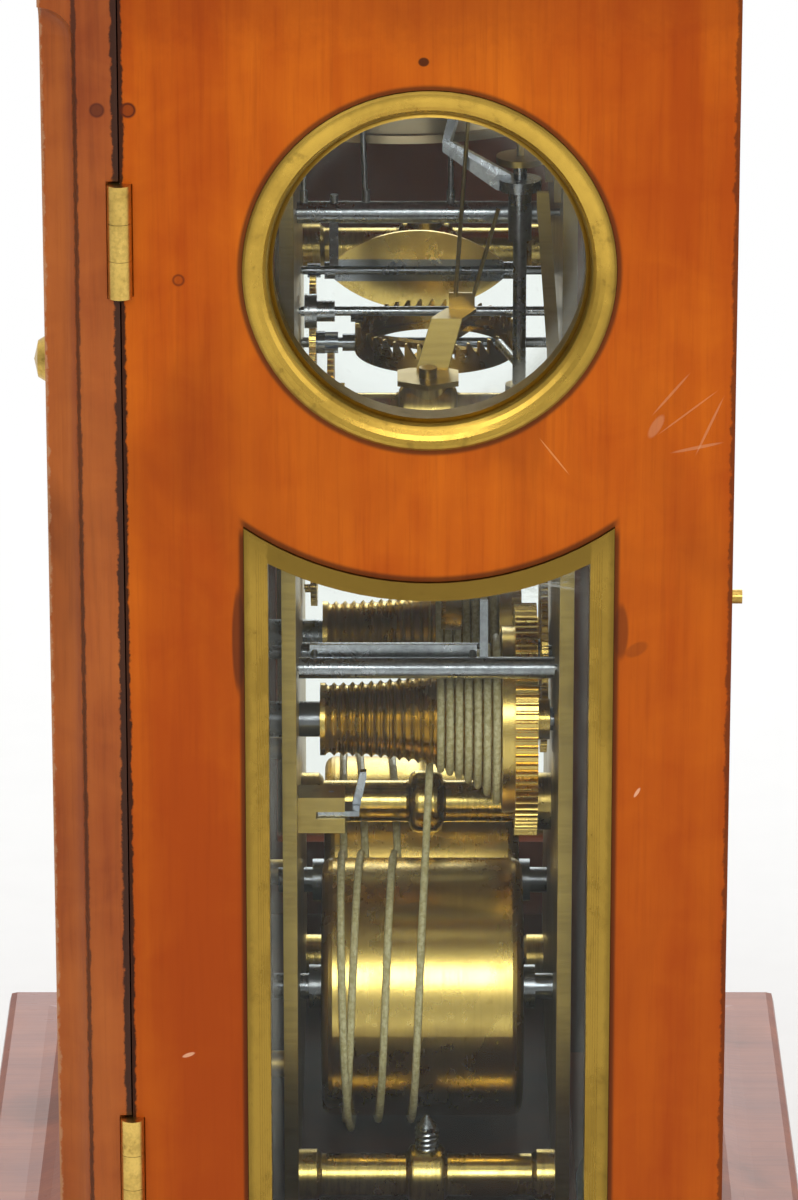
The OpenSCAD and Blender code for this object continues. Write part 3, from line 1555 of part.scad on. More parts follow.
placed() base_moulding();
placed() right_side();
placed() left_side();
placed() top_board();
placed() bell_top();
placed() front_mask();
placed() handle_posts();
placed() handle_bail();
placed() front_door();
placed() door_glass();
placed() case_hinge_leaves();
placed() door_hinge_leaves();
placed() door_knob();
placed() back_door();
placed() back_glass();
placed() back_hinges();
placed() back_knob();
placed() round_bezels();
placed() round_glasses();
placed() shaped_frames();
placed() shaped_glasses();
placed() seatboard();
placed() seat_rails();
placed() seat_bolts();
placed() front_plate();
placed() back_plate();
placed() lower_pillars();
placed() upper_pillars();
placed() centre_pillar();
placed() going_barrel();
placed() going_fusee();
placed() going_gut();
placed() strike_barrel();
placed() strike_fusee();
placed() strike_gut();
placed() centre_wheel();
placed() contrate_wheel();
placed() crown_wheel();
placed() verge();
placed() pendulum_rod();
placed() pendulum_bob();
placed() potence();
placed() back_cock();
placed() pin_wheel();
placed() hoop_wheel();
placed() warning_wheel();
placed() fly();
placed() hammer();
placed() hammer_spring();
placed() hammer_cock();
placed() bell();
placed() bell_stand();
placed() lever_arbor();
placed() detent_arbor();
placed() stop_lever();
placed() dial();
placed() minute_hand();
placed() hour_hand();
placed() motion_wheel();
placed() hour_wheel();
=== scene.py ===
"""Bell-top bracket clock: finishes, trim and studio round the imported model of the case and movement."""
from __future__ import annotations

import json
import logging
import math
from dataclasses import dataclass, field
from enum import Enum
from typing import Any, Iterable, Sequence

import bmesh
import bpy
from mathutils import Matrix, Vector


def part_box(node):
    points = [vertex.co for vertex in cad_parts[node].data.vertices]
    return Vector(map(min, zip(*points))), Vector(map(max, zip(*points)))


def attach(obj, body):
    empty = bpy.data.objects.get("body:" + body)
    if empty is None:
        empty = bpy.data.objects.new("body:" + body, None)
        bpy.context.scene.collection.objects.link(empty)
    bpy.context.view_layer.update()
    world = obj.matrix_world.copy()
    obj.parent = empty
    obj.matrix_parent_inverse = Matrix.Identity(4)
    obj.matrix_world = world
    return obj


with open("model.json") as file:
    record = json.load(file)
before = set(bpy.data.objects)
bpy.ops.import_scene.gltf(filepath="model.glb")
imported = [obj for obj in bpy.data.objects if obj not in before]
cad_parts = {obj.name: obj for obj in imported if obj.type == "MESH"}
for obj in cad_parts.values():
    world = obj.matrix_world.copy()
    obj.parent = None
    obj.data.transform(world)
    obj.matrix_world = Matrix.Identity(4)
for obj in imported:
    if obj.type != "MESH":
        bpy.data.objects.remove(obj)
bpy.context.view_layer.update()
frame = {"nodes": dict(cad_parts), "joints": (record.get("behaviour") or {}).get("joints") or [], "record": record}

# one millimetre in Blender's metres; sizes are in millimetres unless a line says otherwise
MM = 0.001
LOG = logging.getLogger("clock")
Flat = tuple[float, float]
Point = tuple[float, float, float]
Colour = tuple[float, float, float]


def box_mm(node: str) -> tuple[list[float], list[float]]:
    """Lowest and highest corners of a CAD node at rest, in millimetres."""
    low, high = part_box(node)
    return [value / MM for value in low], [value / MM for value in high]


class Socket:
    """A node's output on which Python's operators add Math nodes."""

    def __init__(self, tree: "Tree", out: Any) -> None:
        """Keep the tree that owns the node, and the output."""
        self.tree, self.out = tree, out

    def _math(self, kind: str, *values: Any) -> "Socket":
        """Add a Math node of this kind on the given values."""
        return self.tree.node("ShaderNodeMath", {"operation": kind}, dict(enumerate(values)))

    def __add__(self, other: Any) -> "Socket":
        """Sum."""
        return self._math("ADD", self, other)

    __radd__ = __add__

    def __sub__(self, other: Any) -> "Socket":
        """Difference."""
        return self._math("SUBTRACT", self, other)

    def __rsub__(self, other: Any) -> "Socket":
        """Difference with the number first."""
        return self._math("SUBTRACT", other, self)

    def __mul__(self, other: Any) -> "Socket":
        """Product."""
        return self._math("MULTIPLY", self, other)

    __rmul__ = __mul__

    def __truediv__(self, other: Any) -> "Socket":
        """Quotient."""
        return self._math("DIVIDE", self, other)

    def __pow__(self, other: Any) -> "Socket":
        """Power."""
        return self._math("POWER", self, other)

    def size(self) -> "Socket":
        """The value without its sign."""
        return self._math("ABSOLUTE", self)

    def most(self, other: Any) -> "Socket":
        """The larger of two values."""
        return self._math("MAXIMUM", self, other)

    def over(self, low: float, high: float, first: float = 0.0, last: float = 1.0) -> "Socket":
        """Smooth step from first at low to last at high."""
        values = {"Value": self, "From Min": low, "From Max": high, "To Min": first, "To Max": last}
        return self.tree.node("ShaderNodeMapRange", {"interpolation_type": "SMOOTHSTEP"}, values)

    def clamped(self) -> "Socket":
        """The value held between 0 and 1."""
        return self.tree.node("ShaderNodeClamp", {}, {"Value": self})


class Tree:
    """A node tree, built by one node method."""

    def __init__(self, tree: bpy.types.NodeTree) -> None:
        """Empty the tree."""
        self.tree = tree
        tree.nodes.clear()

    def node(self, kind: str, settings: dict[str, Any], values: dict[Any, Any], out: Any = 0) -> Socket:
        """Add a node.

        Args:
            kind: the node's type.
            settings: attributes, which are set first.
            values: a number, colour or Socket for each input, by name or index.
            out: name or index of the output to return.

        Returns:
            The chosen output.
        """
        made = self.tree.nodes.new(kind)
        for key, value in settings.items():
            setattr(made, key, value)
        for key, value in values.items():
            if isinstance(value, Socket):
                self.tree.links.new(value.out, made.inputs[key])
            elif isinstance(value, tuple) and made.inputs[key].type == "RGBA":
                made.inputs[key].default_value = (*value, 1.0)
            else:
                made.inputs[key].default_value = value
        return Socket(self, made.outputs[out])

    def end(self, kind: str, surface: Socket) -> None:
        """Link a shader to a new output node of this kind."""
        last = self.tree.nodes.new(kind)
        self.tree.links.new(surface.out, last.inputs["Surface"])


class Shader(Tree):
    """A material with its node tree."""

    def __init__(self, name: str) -> None:
        """Start an empty material.

        Args:
            name: the material's name.
        """
        self.material = bpy.data.materials.new(name)
        self.material.use_nodes = True
        super().__init__(self.material.node_tree)

    def place(self, scale: Point = (1, 1, 1)) -> Socket:
        """Object coordinates in metres, scaled."""
        where = self.node("ShaderNodeTexCoord", {}, {}, "Object")
        return self.node("ShaderNodeMapping", {}, {"Vector": where, "Scale": scale})

    def noise(
        self, where: Socket, scale: float, detail: float = 4, rough: float = 0.55, warp: float = 0
    ) -> Socket:
        """Noise between 0 and 1, with scale cells to the metre."""
        values = {"Vector": where, "Scale": scale, "Detail": detail, "Roughness": rough, "Distortion": warp}
        return self.node("ShaderNodeTexNoise", {}, values)

    def axis(self, name: str) -> Socket:
        """One object coordinate, in millimetres."""
        where = self.node("ShaderNodeTexCoord", {}, {}, "Object")
        return self.node("ShaderNodeSeparateXYZ", {}, {"Vector": where}, name) * (1 / MM)

    def mix(self, factor: Any, first: Any, second: Any) -> Socket:
        """Mix two colours; the numbers are the Mix node's colour sockets."""
        return self.node("ShaderNodeMix", {"data_type": "RGBA"}, {0: factor, 6: first, 7: second}, 2)

    def bump(self, height: Socket, strength: float, depth: float) -> Socket:
        """Bump node for the Normal input, depth in metres."""
        return self.node("ShaderNodeBump", {}, {"Height": height, "Strength": strength, "Distance": depth})

    def principled(self, **values: Any) -> Socket:
        """Principled shader; an input's name is written with underscores."""
        named = {key.replace("_", " "): value for key, value in values.items()}
        return self.node("ShaderNodeBsdfPrincipled", {}, named)

    def finish(self, surface: Socket) -> bpy.types.Material:
        """Put a shader on the output and return the finished material."""
        self.end("ShaderNodeOutputMaterial", surface)
        return self.material


@dataclass(frozen=True)
class Openings:
    """Where the side windows are, in millimetres.

    The round bezel and the hollow top of the shaped frame have one centre, at y and z.
    """

    y: float
    z: float
    bezel: float
    half: float
    hollow: float

    @classmethod
    def read(cls) -> "Openings":
        """Measure the windows' brass.

        Returns:
            The centre, the bezel's radius, the shaped frame's half width and its hollow's radius.
        """
        low, high = box_mm("round_bezels")
        frame_low, frame_high = box_mm("shaped_frames")
        y, z = (low[1] + high[1]) / 2, (low[2] + high[2]) / 2
        half = (frame_high[1] - frame_low[1]) / 2
        return cls(y, z, (high[2] - low[2]) / 2, half, math.hypot(half, z - frame_high[2]))

    def offsets(self, s: Shader) -> tuple[Socket, Socket, Socket]:
        """Distances from the windows' common centre.

        Args:
            s: shader that uses them.

        Returns:
            How far along Y, how far up, and how far in all.
        """
        y, z = s.axis("Y") - self.y, s.axis("Z") - self.z
        return y, z, (y * y + z * z) ** 0.5


OPENINGS = Openings.read()


class Grain(Enum):
    """Direction in which a board's grain runs, as the stretch of its noise."""

    X = (0.04, 1.0, 1.0)
    Y = (1.0, 0.04, 1.0)
    Z = (1.0, 1.0, 0.04)


# a plugged screw hole, bare wood where the polish is scratched, and packed dirt
PLUG = (0.07, 0.012, 0.004)
SCRATCH = (0.80, 0.50, 0.28)
DIRT = (0.012, 0.006, 0.004)


@dataclass(frozen=True)
class Mark:
    """A plug, knot, stain or scratch on a board's side, in millimetres and degrees."""

    y: float
    z: float
    long: float
    wide: float
    turn: float = 0.0
    strength: float = 0.6
    colour: Colour = PLUG
    ring: bool = False

    def mask(self, s: Shader) -> Socket:
        """Find the mark on the board.

        Args:
            s: the board's shader.

        Returns:
            A mask that is 1 on the mark and 0 round it, and weaker inside a ring.
        """
        c, d = math.cos(math.radians(self.turn)), math.sin(math.radians(self.turn))
        y, z = s.axis("Y") - self.y, s.axis("Z") - self.z
        u, v = (y * c + z * d) / self.long, (z * c - y * d) / self.wide
        far = u * u + v * v
        disc = 1 - far.over(0.45, 1.0)
        return disc * (0.35 + far.over(0.2, 0.5)) if self.ring else disc


@dataclass(frozen=True)
class Band:
    """A stripe of dirt, wear or darker wood between two places along an axis, in millimetres; one pale stripe on
    the door is wear with a painted highlight.
    """

    axis: str
    low: float
    high: float
    soft: float = 0.3
    strength: float = 0.8
    colour: Colour = DIRT
    ragged: float = 0.0

    def mask(self, s: Shader) -> Socket:
        """Find the stripe on the board.

        Args:
            s: the board's shader.

        Returns:
            A mask that is 1 inside the stripe.
        """
        place = s.axis(self.axis)
        if self.ragged:
            place = place + (s.noise(s.place(), 420, rough=0.7) - 0.5) * (self.ragged * 4)
        inside = place.over(self.low - self.soft, self.low + self.soft)
        return inside * (1 - place.over(self.high - self.soft, self.high + self.soft))


@dataclass(frozen=True)
class Mahogany:
    """French-polished mahogany with fine grain, clouds of darker polish and a little wear."""

    name: str
    deep: Colour = (0.155, 0.018, 0.002)
    body: Colour = (0.335, 0.052, 0.0025)
    light: Colour = (0.51, 0.115, 0.005)
    grain: Grain = Grain.Z
    gloss: float = 0.34
    polish: float = 0.07
    marks: tuple[Mark, ...] = ()
    bands: tuple[Band, ...] = ()
    windows: bool = False
    # colours of the painted shade that darkens and reddens the side board towards its foot
    low_shade_deep: Colour = (0.20, 0.026, 0.003)
    low_shade_body: Colour = (0.34, 0.055, 0.006)
    old_polish: Colour = (0.04, 0.012, 0.004)

    def tone(self, s: Shader) -> tuple[Socket, Socket, Socket]:
        """Mix the clean wood.

        Args:
            s: the board's shader.

        Returns:
            The wood's colour, its fine grain and its clouds.
        """
        sx, sy, sz = self.grain.value
        flow = s.noise(s.place((4 * sx, 4 * sy, 4 * sz)), 7, detail=3, rough=0.5)
        ribbon = s.noise(s.place((sx, sy, sz)), 120, detail=5, rough=0.6, warp=0.4)
        fine = s.noise(s.place((sx * 0.6, sy * 0.6, sz * 0.6)), 1500, detail=3, rough=0.7)
        cloud = s.noise(s.place((1.0, 1.0, 0.6)), 21, warp=0.5)
        ripple = s.noise(s.place((sz, 1.0, sx * 1.2)), 75, warp=0.8)
        mixed = flow * 0.34 + ribbon * 0.26 + cloud * 0.28 + ripple * 0.12
        base = s.mix(mixed.over(0.38, 0.60), self.body, self.light)
        base = s.mix(cloud.over(0.47, 0.72) * 0.6, base, self.deep)
        base = s.mix(fine.over(0.45, 0.75) * 0.2, base, self.deep)
        return base, fine, cloud

    def window_dirt(self, s: Shader) -> Socket:
        """Find the old polish and dirt in the corner where the brass meets the board.

        Args:
            s: the board's shader.

        Returns:
            A mask that is 1 along the bezel and round the shaped frame.
        """
        y, z, far = OPENINGS.offsets(s)
        ring = 1 - (far - (OPENINGS.bezel + 0.4)).size().over(0.2, 1.1)
        top = 1 - (far - (OPENINGS.hollow - 0.5)).size().over(0.2, 1.2)
        side = 1 - (y.size() - (OPENINGS.half + 0.4)).size().over(0.2, 1.1)
        low = 1 - z.over(-58, -54)
        arch = (1 - y.size().over(38, 40)) * (1 - z.over(-52, -48))
        return ring.most(top * arch).most(side * low)

    def material(self) -> bpy.types.Material:
        """Build the wood.

        Returns:
            The wood's material.
        """
        s = Shader(self.name)
        base, fine, cloud = self.tone(s)
        if self.windows:
            # painted shade: the board grows darker and redder towards its foot
            painted_low_shade = 1 - s.axis("Z").over(150, 330)
            base = s.mix(painted_low_shade * 0.5, base, s.mix(cloud, self.low_shade_deep, self.low_shade_body))
            base = s.mix(self.window_dirt(s) * 0.75, base, self.old_polish)
        for piece in (*self.bands, *self.marks):
            base = s.mix(piece.mask(s) * piece.strength, base, piece.colour)
        wood = s.principled(
            Base_Color=base,
            Roughness=self.gloss + cloud * 0.14 + fine * 0.08,
            Specular_IOR_Level=self.polish,
            Coat_Weight=self.polish * 0.3,
            Coat_Roughness=0.15,
            Normal=s.bump(fine * 0.6 + cloud * 0.4, 0.22, 0.0002),
        )
        return s.finish(wood)


@dataclass(frozen=True)
class Metal:
    """Brass or steel with tarnish, brushing lines and fine scratches.

    The last five fields are the noise cells to the metre of its clouds, spots, fine lines and
    broad lines, and how much its clouds are warped.
    """

    name: str
    bright: Colour
    dull: Colour
    stain: Colour
    rough: float = 0.28
    age: float = 0.5
    brush: Point = (1.0, 1.0, 1.0)
    lines: float = 0.25
    cloud_cells: float = 38
    spot_cells: float = 260
    line_cells: float = 1100
    broad_cells: float = 240
    warp: float = 0.4

    def patina(self, s: Shader) -> tuple[Socket, Socket]:
        """The clouds and spots of tarnish, as two noises."""
        cloud = s.noise(s.place(), self.cloud_cells, detail=5, rough=0.6, warp=self.warp)
        return cloud, s.noise(s.place(), self.spot_cells, detail=3, rough=0.6)

    def scratches(self, s: Shader, where: Socket) -> tuple[Socket, Socket]:
        """The fine and broad lines left by the tool, as two noises stretched by where."""
        fine = s.noise(where, self.line_cells, detail=3, rough=0.6)
        return fine, s.noise(where, self.broad_cells, detail=3, rough=0.6)

    def material(self) -> bpy.types.Material:
        """Build the metal.

        Returns:
            The metal's material.
        """
        s = Shader(self.name)
        cloud, spots = self.patina(s)
        lines, broad = self.scratches(s, s.place(self.brush))
        tarnish = (cloud * 0.7 + spots * 0.3).over(0.40, 0.66) * self.age
        base = s.mix(tarnish, self.bright, self.dull)
        base = s.mix((lines * 0.6 + broad * 0.4).over(0.42, 0.62) * self.lines, base, self.stain)
        base = s.mix(spots.over(0.62, 0.76) * self.age * 0.7, base, self.stain)
        metal = s.principled(
            Base_Color=base,
            Metallic=1.0,
            Roughness=self.rough + tarnish * 0.16 + lines * 0.08,
            Normal=s.bump(lines * 0.5 + broad * 0.3 + spots * 0.2, 0.14, 0.0001),
        )
        return s.finish(metal)


@dataclass(frozen=True)
class Turned(Metal):
    """Brass turned on a steel arbor: its lines run round the axis, and its core is steel."""

    rough: float = 0.2
    age: float = 0.6
    lines: float = 0.3
    line_cells: float = 1300
    broad_cells: float = 260
    centre: Point = (0.0, 0.0, 0.0)
    upright: bool = False
    core: float = 3.4
    core_edge: float = 0.12
    steel_bright: Colour = (0.30, 0.32, 0.35)
    steel_dull: Colour = (0.15, 0.155, 0.17)

    def material(self) -> bpy.types.Material:
        """Build the turned metal.

        Returns:
            The material, for the piece round this centre alone.
        """
        s = Shader(self.name)
        cloud, spots = self.patina(s)
        u = s.axis("X") - self.centre[0]
        v = s.axis("Y") - self.centre[1] if self.upright else s.axis("Z") - self.centre[2]
        along = s.axis("Z") if self.upright else s.axis("Y")
        far = (u * u + v * v) ** 0.5
        rounds = {0: far * MM, 1: along * MM, 2: cloud * (4 * MM)}
        lines, broad = self.scratches(s, s.node("ShaderNodeCombineXYZ", {}, rounds))
        tarnish = (cloud * 0.7 + spots * 0.3).over(0.42, 0.68) * self.age
        base = s.mix(tarnish, self.bright, self.dull)
        base = s.mix((lines * 0.6 + broad * 0.4).over(0.42, 0.62) * self.lines, base, self.dull)
        base = s.mix(spots.over(0.64, 0.78) * self.age * 0.4, base, self.stain)
        steel = 1 - far.over(self.core - self.core_edge, self.core + self.core_edge)
        base = s.mix(steel, base, s.mix(cloud, self.steel_bright, self.steel_dull))
        metal = s.principled(
            Base_Color=base,
            Metallic=1.0,
            Roughness=self.rough + tarnish * 0.16 + lines * 0.08,
            Normal=s.bump(lines * 0.6 + broad * 0.25 + spots * 0.15, 0.14, 0.0001),
        )
        return s.finish(metal)


@dataclass(frozen=True)
class RimBrass(Metal):
    """Brass round a window, with dirt, green-black tarnish and painted shade in its corners, and painted shade
    over the shaped frame.
    """

    cloud_cells: float = 30
    spot_cells: float = 300
    warp: float = 0.5
    # colour of dirt and of painted shade along the bezel's and frame's rounded edges
    dirt: Colour = (0.14, 0.095, 0.022)
    shade: Colour = (0.18, 0.11, 0.020)

    def corners(self, s: Shader) -> tuple[Socket, Socket]:
        """Find where dirt gathers and where shade is painted.

        Args:
            s: the rim's shader.

        Returns:
            A mask of the corners, with dirt and the painted shade of the rounded edges, and one of the painted
            shade over the frame, darkest under its hollow top.
        """
        y, _, far = OPENINGS.offsets(s)
        lower = far.over(44, 47)
        ragged = (s.noise(s.place(), 130, rough=0.65) - 0.5) * 1.6
        bezel, half, hollow = OPENINGS.bezel, OPENINGS.half, OPENINGS.hollow
        ring = far.over(bezel - 1.8, bezel + 0.2).most(1 - far.over(bezel - 5.4, bezel - 4.0))
        across, arch = y.size() + ragged, far + ragged
        edges = across.over(half - 1.6, half - 0.1).most(1 - across.over(half - 5.3, half - 4.5))
        edges = edges.most(1 - arch.over(hollow - 0.9, hollow + 1.1))
        shaded = lower * (0.6 + (1 - arch.over(67, 78)) * 0.25)
        return ((1 - lower) * ring).most(lower * edges), shaded

    def material(self) -> bpy.types.Material:
        """Build the rim's brass.

        Returns:
            The material of bezels and frames.
        """
        s = Shader(self.name)
        cloud, spots = self.patina(s)
        edge_dirt_and_shade, shaded = self.corners(s)
        tarnish = (cloud * 0.75 + spots * 0.25).over(0.42, 0.66) * self.age
        base = s.mix(tarnish, self.bright, self.dull)
        base = s.mix(spots.over(0.60, 0.74) * 0.35, base, self.stain)
        # dirt, and painted shade where the rounded edges of the bezel and frame turn from the light
        base = s.mix(edge_dirt_and_shade * 0.62, base, self.dirt)
        base = s.mix(shaded, base, self.shade)
        metal = s.principled(
            Base_Color=base,
            Metallic=1.0,
            Roughness=self.rough + tarnish * 0.14 + edge_dirt_and_shade * 0.12,
            Normal=s.bump(spots * 0.4 + cloud * 0.6, 0.12, 0.0002),
        )
        return s.finish(metal)


@dataclass(frozen=True)
class Glass:
    """Old window glass: clear, with faint dust and a rim of dirt left by polishing cloths."""

    name: str
    dust: Colour = (0.55, 0.57, 0.52)
    tint: Colour = (0.965, 0.98, 0.97)
    sheen: Colour = (0.9, 0.95, 0.93)
    rim: bool = False

    def rim_dirt(self, s: Shader) -> Socket:
        """Find the dirt along the edges of the side panes, and one wiped smear.

        Args:
            s: the glass's shader.

        Returns:
            The share of the glass that this dirt hides.
        """
        y, z, far = OPENINGS.offsets(s)
        lower = far.over(45, 50)
        soft = s.noise(s.place((1.0, 1.0, 0.35)), 60, detail=3, warp=0.8)
        rim = (1 - lower) * far.over(27.5, 33.5) * (y.over(-12, 22) * 0.75 + 0.25)
        rim = rim.most(lower * (1 - far.over(70, 77)) * 0.7).most(lower * y.size().over(31.0, 33.6) * 0.55)
        wipe = s.noise(s.place((1.0, 0.35, 1.6)), 260, rough=0.7, warp=1.6)
        smear = y.over(4, 10) * (1 - y.over(26, 34)) * z.over(-75, -70) * (1 - z.over(-67, -63))
        return rim * (0.10 + soft.over(0.40, 0.68) * 0.22) + smear * wipe.over(0.50, 0.62) * 0.5

    def material(self) -> bpy.types.Material:
        """Build the glass.

        Returns:
            The glass's material.
        """
        s = Shader(self.name)
        relief = s.bump(s.noise(s.place(), 22, detail=2, rough=0.5), 0.04, 0.001)
        clear = s.node("ShaderNodeBsdfTransparent", {}, {"Color": self.tint})
        sheen = s.principled(Base_Color=self.sheen, Metallic=1.0, Roughness=0.03, Normal=relief)
        gloss = s.node("ShaderNodeFresnel", {}, {"IOR": 1.4})
        pane = s.node("ShaderNodeMixShader", {}, {0: gloss * 0.4, 1: clear, 2: sheen})
        cloud = s.noise(s.place(), 45, detail=5, rough=0.65, warp=0.6)
        specks = s.noise(s.place(), 900, detail=2, rough=0.5)
        hidden = cloud.over(0.50, 0.85) * 0.016 + specks.over(0.68, 0.74) * 0.06
        if self.rim:
            hidden = hidden + self.rim_dirt(s)
        dust = s.principled(Base_Color=self.dust, Roughness=0.8)
        return s.finish(s.node("ShaderNodeMixShader", {}, {0: hidden.clamped(), 1: pane, 2: dust}))


@dataclass(frozen=True)
class Gut:
    """Twisted gut line, oiled and a little dirty."""

    name: str
    dark: Colour = (0.62, 0.54, 0.24)
    pale: Colour = (0.86, 0.79, 0.47)
    oil: Colour = (0.40, 0.32, 0.12)

    def material(self) -> bpy.types.Material:
        """Build the line.

        Returns:
            The line's material.
        """
        s = Shader(self.name)
        strands = s.noise(s.place(), 900, detail=3, rough=0.6)
        dirt = s.noise(s.place(), 70, rough=0.6)
        base = s.mix(strands.over(0.35, 0.65), self.dark, self.pale)
        base = s.mix(dirt.over(0.5, 0.75) * 0.3, base, self.oil)
        relief = s.bump(strands, 0.5, 0.0003)
        return s.finish(s.principled(Base_Color=base, Roughness=0.42, Coat_Weight=0.2, Normal=relief))


@dataclass(frozen=True)
class Silvering:
    """Matt silvered brass for the dial."""

    name: str
    tone: Colour = (0.72, 0.70, 0.63)
    worn: Colour = (0.55, 0.52, 0.43)

    def material(self) -> bpy.types.Material:
        """Build the silvering.

        Returns:
            The silvering's material.
        """
        s = Shader(self.name)
        cloud = s.noise(s.place(), 30, detail=5, rough=0.6)
        grit = s.noise(s.place(), 1800, detail=2, rough=0.6)
        base = s.mix(cloud.over(0.4, 0.7) * 0.5, self.tone, self.worn)
        relief = s.bump(grit, 0.15, 0.0001)
        silver = s.principled(Base_Color=base, Metallic=0.55, Roughness=0.42 + grit * 0.1, Normal=relief)
        return s.finish(silver)


@dataclass(frozen=True)
class Wax:
    """Black wax in engraved lines."""

    name: str
    tone: Colour = (0.012, 0.011, 0.010)
    grey: Colour = (0.03, 0.026, 0.022)

    def material(self) -> bpy.types.Material:
        """Build the wax.

        Returns:
            The wax's material.
        """
        s = Shader(self.name)
        grit = s.noise(s.place(), 600, detail=2, rough=0.5)
        return s.finish(s.principled(Base_Color=s.mix(grit, self.tone, self.grey), Roughness=0.5))


# plugged screw holes, a knot and stains by the shaped window, then scratches
SIDE_MARKS = (
    Mark(-53.2, 368.5, 1.9, 1.9, strength=0.75, ring=True),
    Mark(-43.3, 332.5, 1.5, 1.5, strength=0.55, ring=True),
    Mark(6.9, 378.6, 1.3, 1.1, strength=0.85, colour=(0.02, 0.006, 0.003)),
    Mark(-53.2, 368.5, 1.3, 1.3, strength=0.5, colour=(0.10, 0.014, 0.004)),
    Mark(-31.6, 254.0, 1.6, 13.0, strength=0.7, colour=(0.05, 0.014, 0.006)),
    Mark(48.2, 256.0, 1.8, 7.0, strength=0.55, colour=(0.06, 0.015, 0.006)),
    Mark(51.5, 252.0, 3.0, 1.6, 30, 0.35, (0.08, 0.018, 0.006)),
    Mark(58.0, 308.0, 6.5, 0.3, 50, 0.15, SCRATCH),
    Mark(61.5, 304.0, 8.5, 0.22, 38, 0.14, SCRATCH),
    Mark(66.0, 301.0, 7.5, 0.3, 66, 0.15, (0.80, 0.52, 0.30)),
    Mark(63.5, 296.4, 6.0, 0.4, 12, 0.16, (0.75, 0.48, 0.28)),
    Mark(55.0, 301.0, 3.2, 1.2, 60, 0.14, (0.78, 0.50, 0.30)),
    Mark(34.0, 294.5, 5.5, 0.22, -52, 0.3, (0.80, 0.40, 0.15)),
    Mark(-43.0, 160.0, 1.6, 0.5, 20, 0.5, (0.85, 0.5, 0.3)),
    Mark(52.0, 220.0, 1.4, 0.4, 60, 0.5, (0.85, 0.5, 0.3)),
)
SIDE_BANDS = (
    Band("Z", 384.0, 420.0, 7.0, 0.3, (0.20, 0.028, 0.003), 4.0),
    Band("X", -113.2, 113.2, 0.4, 0.92, (0.045, 0.014, 0.007)),
    Band("Y", -56.0, -54.3, 0.25, 0.93, ragged=0.5),
    Band("Y", 70.4, 72.0, 0.3, 0.6, ragged=0.6),
)
DOOR_MARKS = (
    Mark(-59.5, 368.5, 1.8, 1.8, strength=0.7, ring=True),
    Mark(-59.5, 368.5, 1.3, 1.3, strength=0.6, colour=(0.06, 0.012, 0.004)),
)
DOOR_BANDS = (
    Band("Y", -56.6, -54.9, 0.25, 0.9, ragged=0.5),
    Band("Y", -64.6, -63.6, 0.2, 0.75, ragged=0.3),
    # pale line along the edge of the chamfer: wear through the polish, with a painted highlight
    Band("Y", -72.2, -70.9, 0.25, 0.45, (0.42, 0.27, 0.15), 0.6),
)


class Finish(Enum):
    """Every finish on the clock, apart from the turned pieces' own."""

    SIDE = Mahogany("side_mahogany", marks=SIDE_MARKS, bands=SIDE_BANDS, windows=True)
    DOOR = Mahogany(
        "door_mahogany", deep=(0.075, 0.012, 0.003), body=(0.20, 0.036, 0.006), light=(0.38, 0.10, 0.016),
        gloss=0.26, polish=0.15, marks=DOOR_MARKS, bands=DOOR_BANDS,
    )
    TOP = Mahogany(
        "top_mahogany", deep=(0.10, 0.014, 0.002), body=(0.26, 0.042, 0.004), light=(0.42, 0.095, 0.008),
        grain=Grain.X, gloss=0.26, polish=0.12,
    )
    BASE = Mahogany(
        "base_mahogany", deep=(0.07, 0.012, 0.003), body=(0.19, 0.034, 0.006), light=(0.32, 0.072, 0.012),
        grain=Grain.Y, gloss=0.2, polish=0.2,
    )
    INSIDE = Mahogany(
        "inside_mahogany", deep=(0.010, 0.004, 0.003), body=(0.034, 0.012, 0.006),
        light=(0.085, 0.028, 0.012), gloss=0.5,
    )
    BRIGHT_BRASS = Metal(
        "bright_brass", bright=(0.72, 0.49, 0.13), dull=(0.45, 0.28, 0.06), stain=(0.15, 0.085, 0.02),
        rough=0.24, age=0.7,
    )
    RIM_BRASS = RimBrass(
        "rim_brass", bright=(0.60, 0.38, 0.065), dull=(0.38, 0.235, 0.04), stain=(0.14, 0.085, 0.02),
        rough=0.22, age=0.75,
    )
    PLATE_BRASS = Metal(
        "plate_brass", bright=(0.46, 0.33, 0.095), dull=(0.34, 0.24, 0.07), stain=(0.16, 0.11, 0.035),
        brush=(0.08, 0.08, 1.0),
    )
    BARREL_BRASS = Metal(
        "barrel_brass", bright=(0.70, 0.52, 0.16), dull=(0.44, 0.31, 0.09), stain=(0.12, 0.085, 0.025),
        rough=0.2, age=0.6, brush=(0.15, 1.0, 0.15), lines=0.35,
    )
    STEEL = Metal(
        "polished_steel", bright=(0.42, 0.44, 0.47), dull=(0.20, 0.21, 0.23), stain=(0.05, 0.04, 0.035),
        rough=0.22, age=0.55,
    )
    BLUED = Metal(
        "blued_steel", bright=(0.035, 0.055, 0.17), dull=(0.02, 0.03, 0.08), stain=(0.03, 0.02, 0.02),
        rough=0.22, age=0.4,
    )
    BELL = Metal(
        "bell_metal", bright=(0.62, 0.40, 0.19), dull=(0.40, 0.24, 0.11), stain=(0.14, 0.08, 0.04),
        rough=0.25, brush=(1.0, 1.0, 0.05),
    )
    GLASS = Glass("window_glass", rim=True)
    DOOR_GLASS = Glass("door_glass")
    GUT = Gut("gut_line")
    SILVER = Silvering("dial_silvering")
    DIAL_BRASS = Metal(
        "dial_brass", bright=(0.78, 0.58, 0.20), dull=(0.60, 0.42, 0.13), stain=(0.25, 0.16, 0.05),
        rough=0.38, lines=0.15,
    )
    WAX = Wax("engraving_wax")

    def made(self) -> bpy.types.Material:
        """The material, built once."""
        return bpy.data.materials.get(self.value.name) or self.value.material()


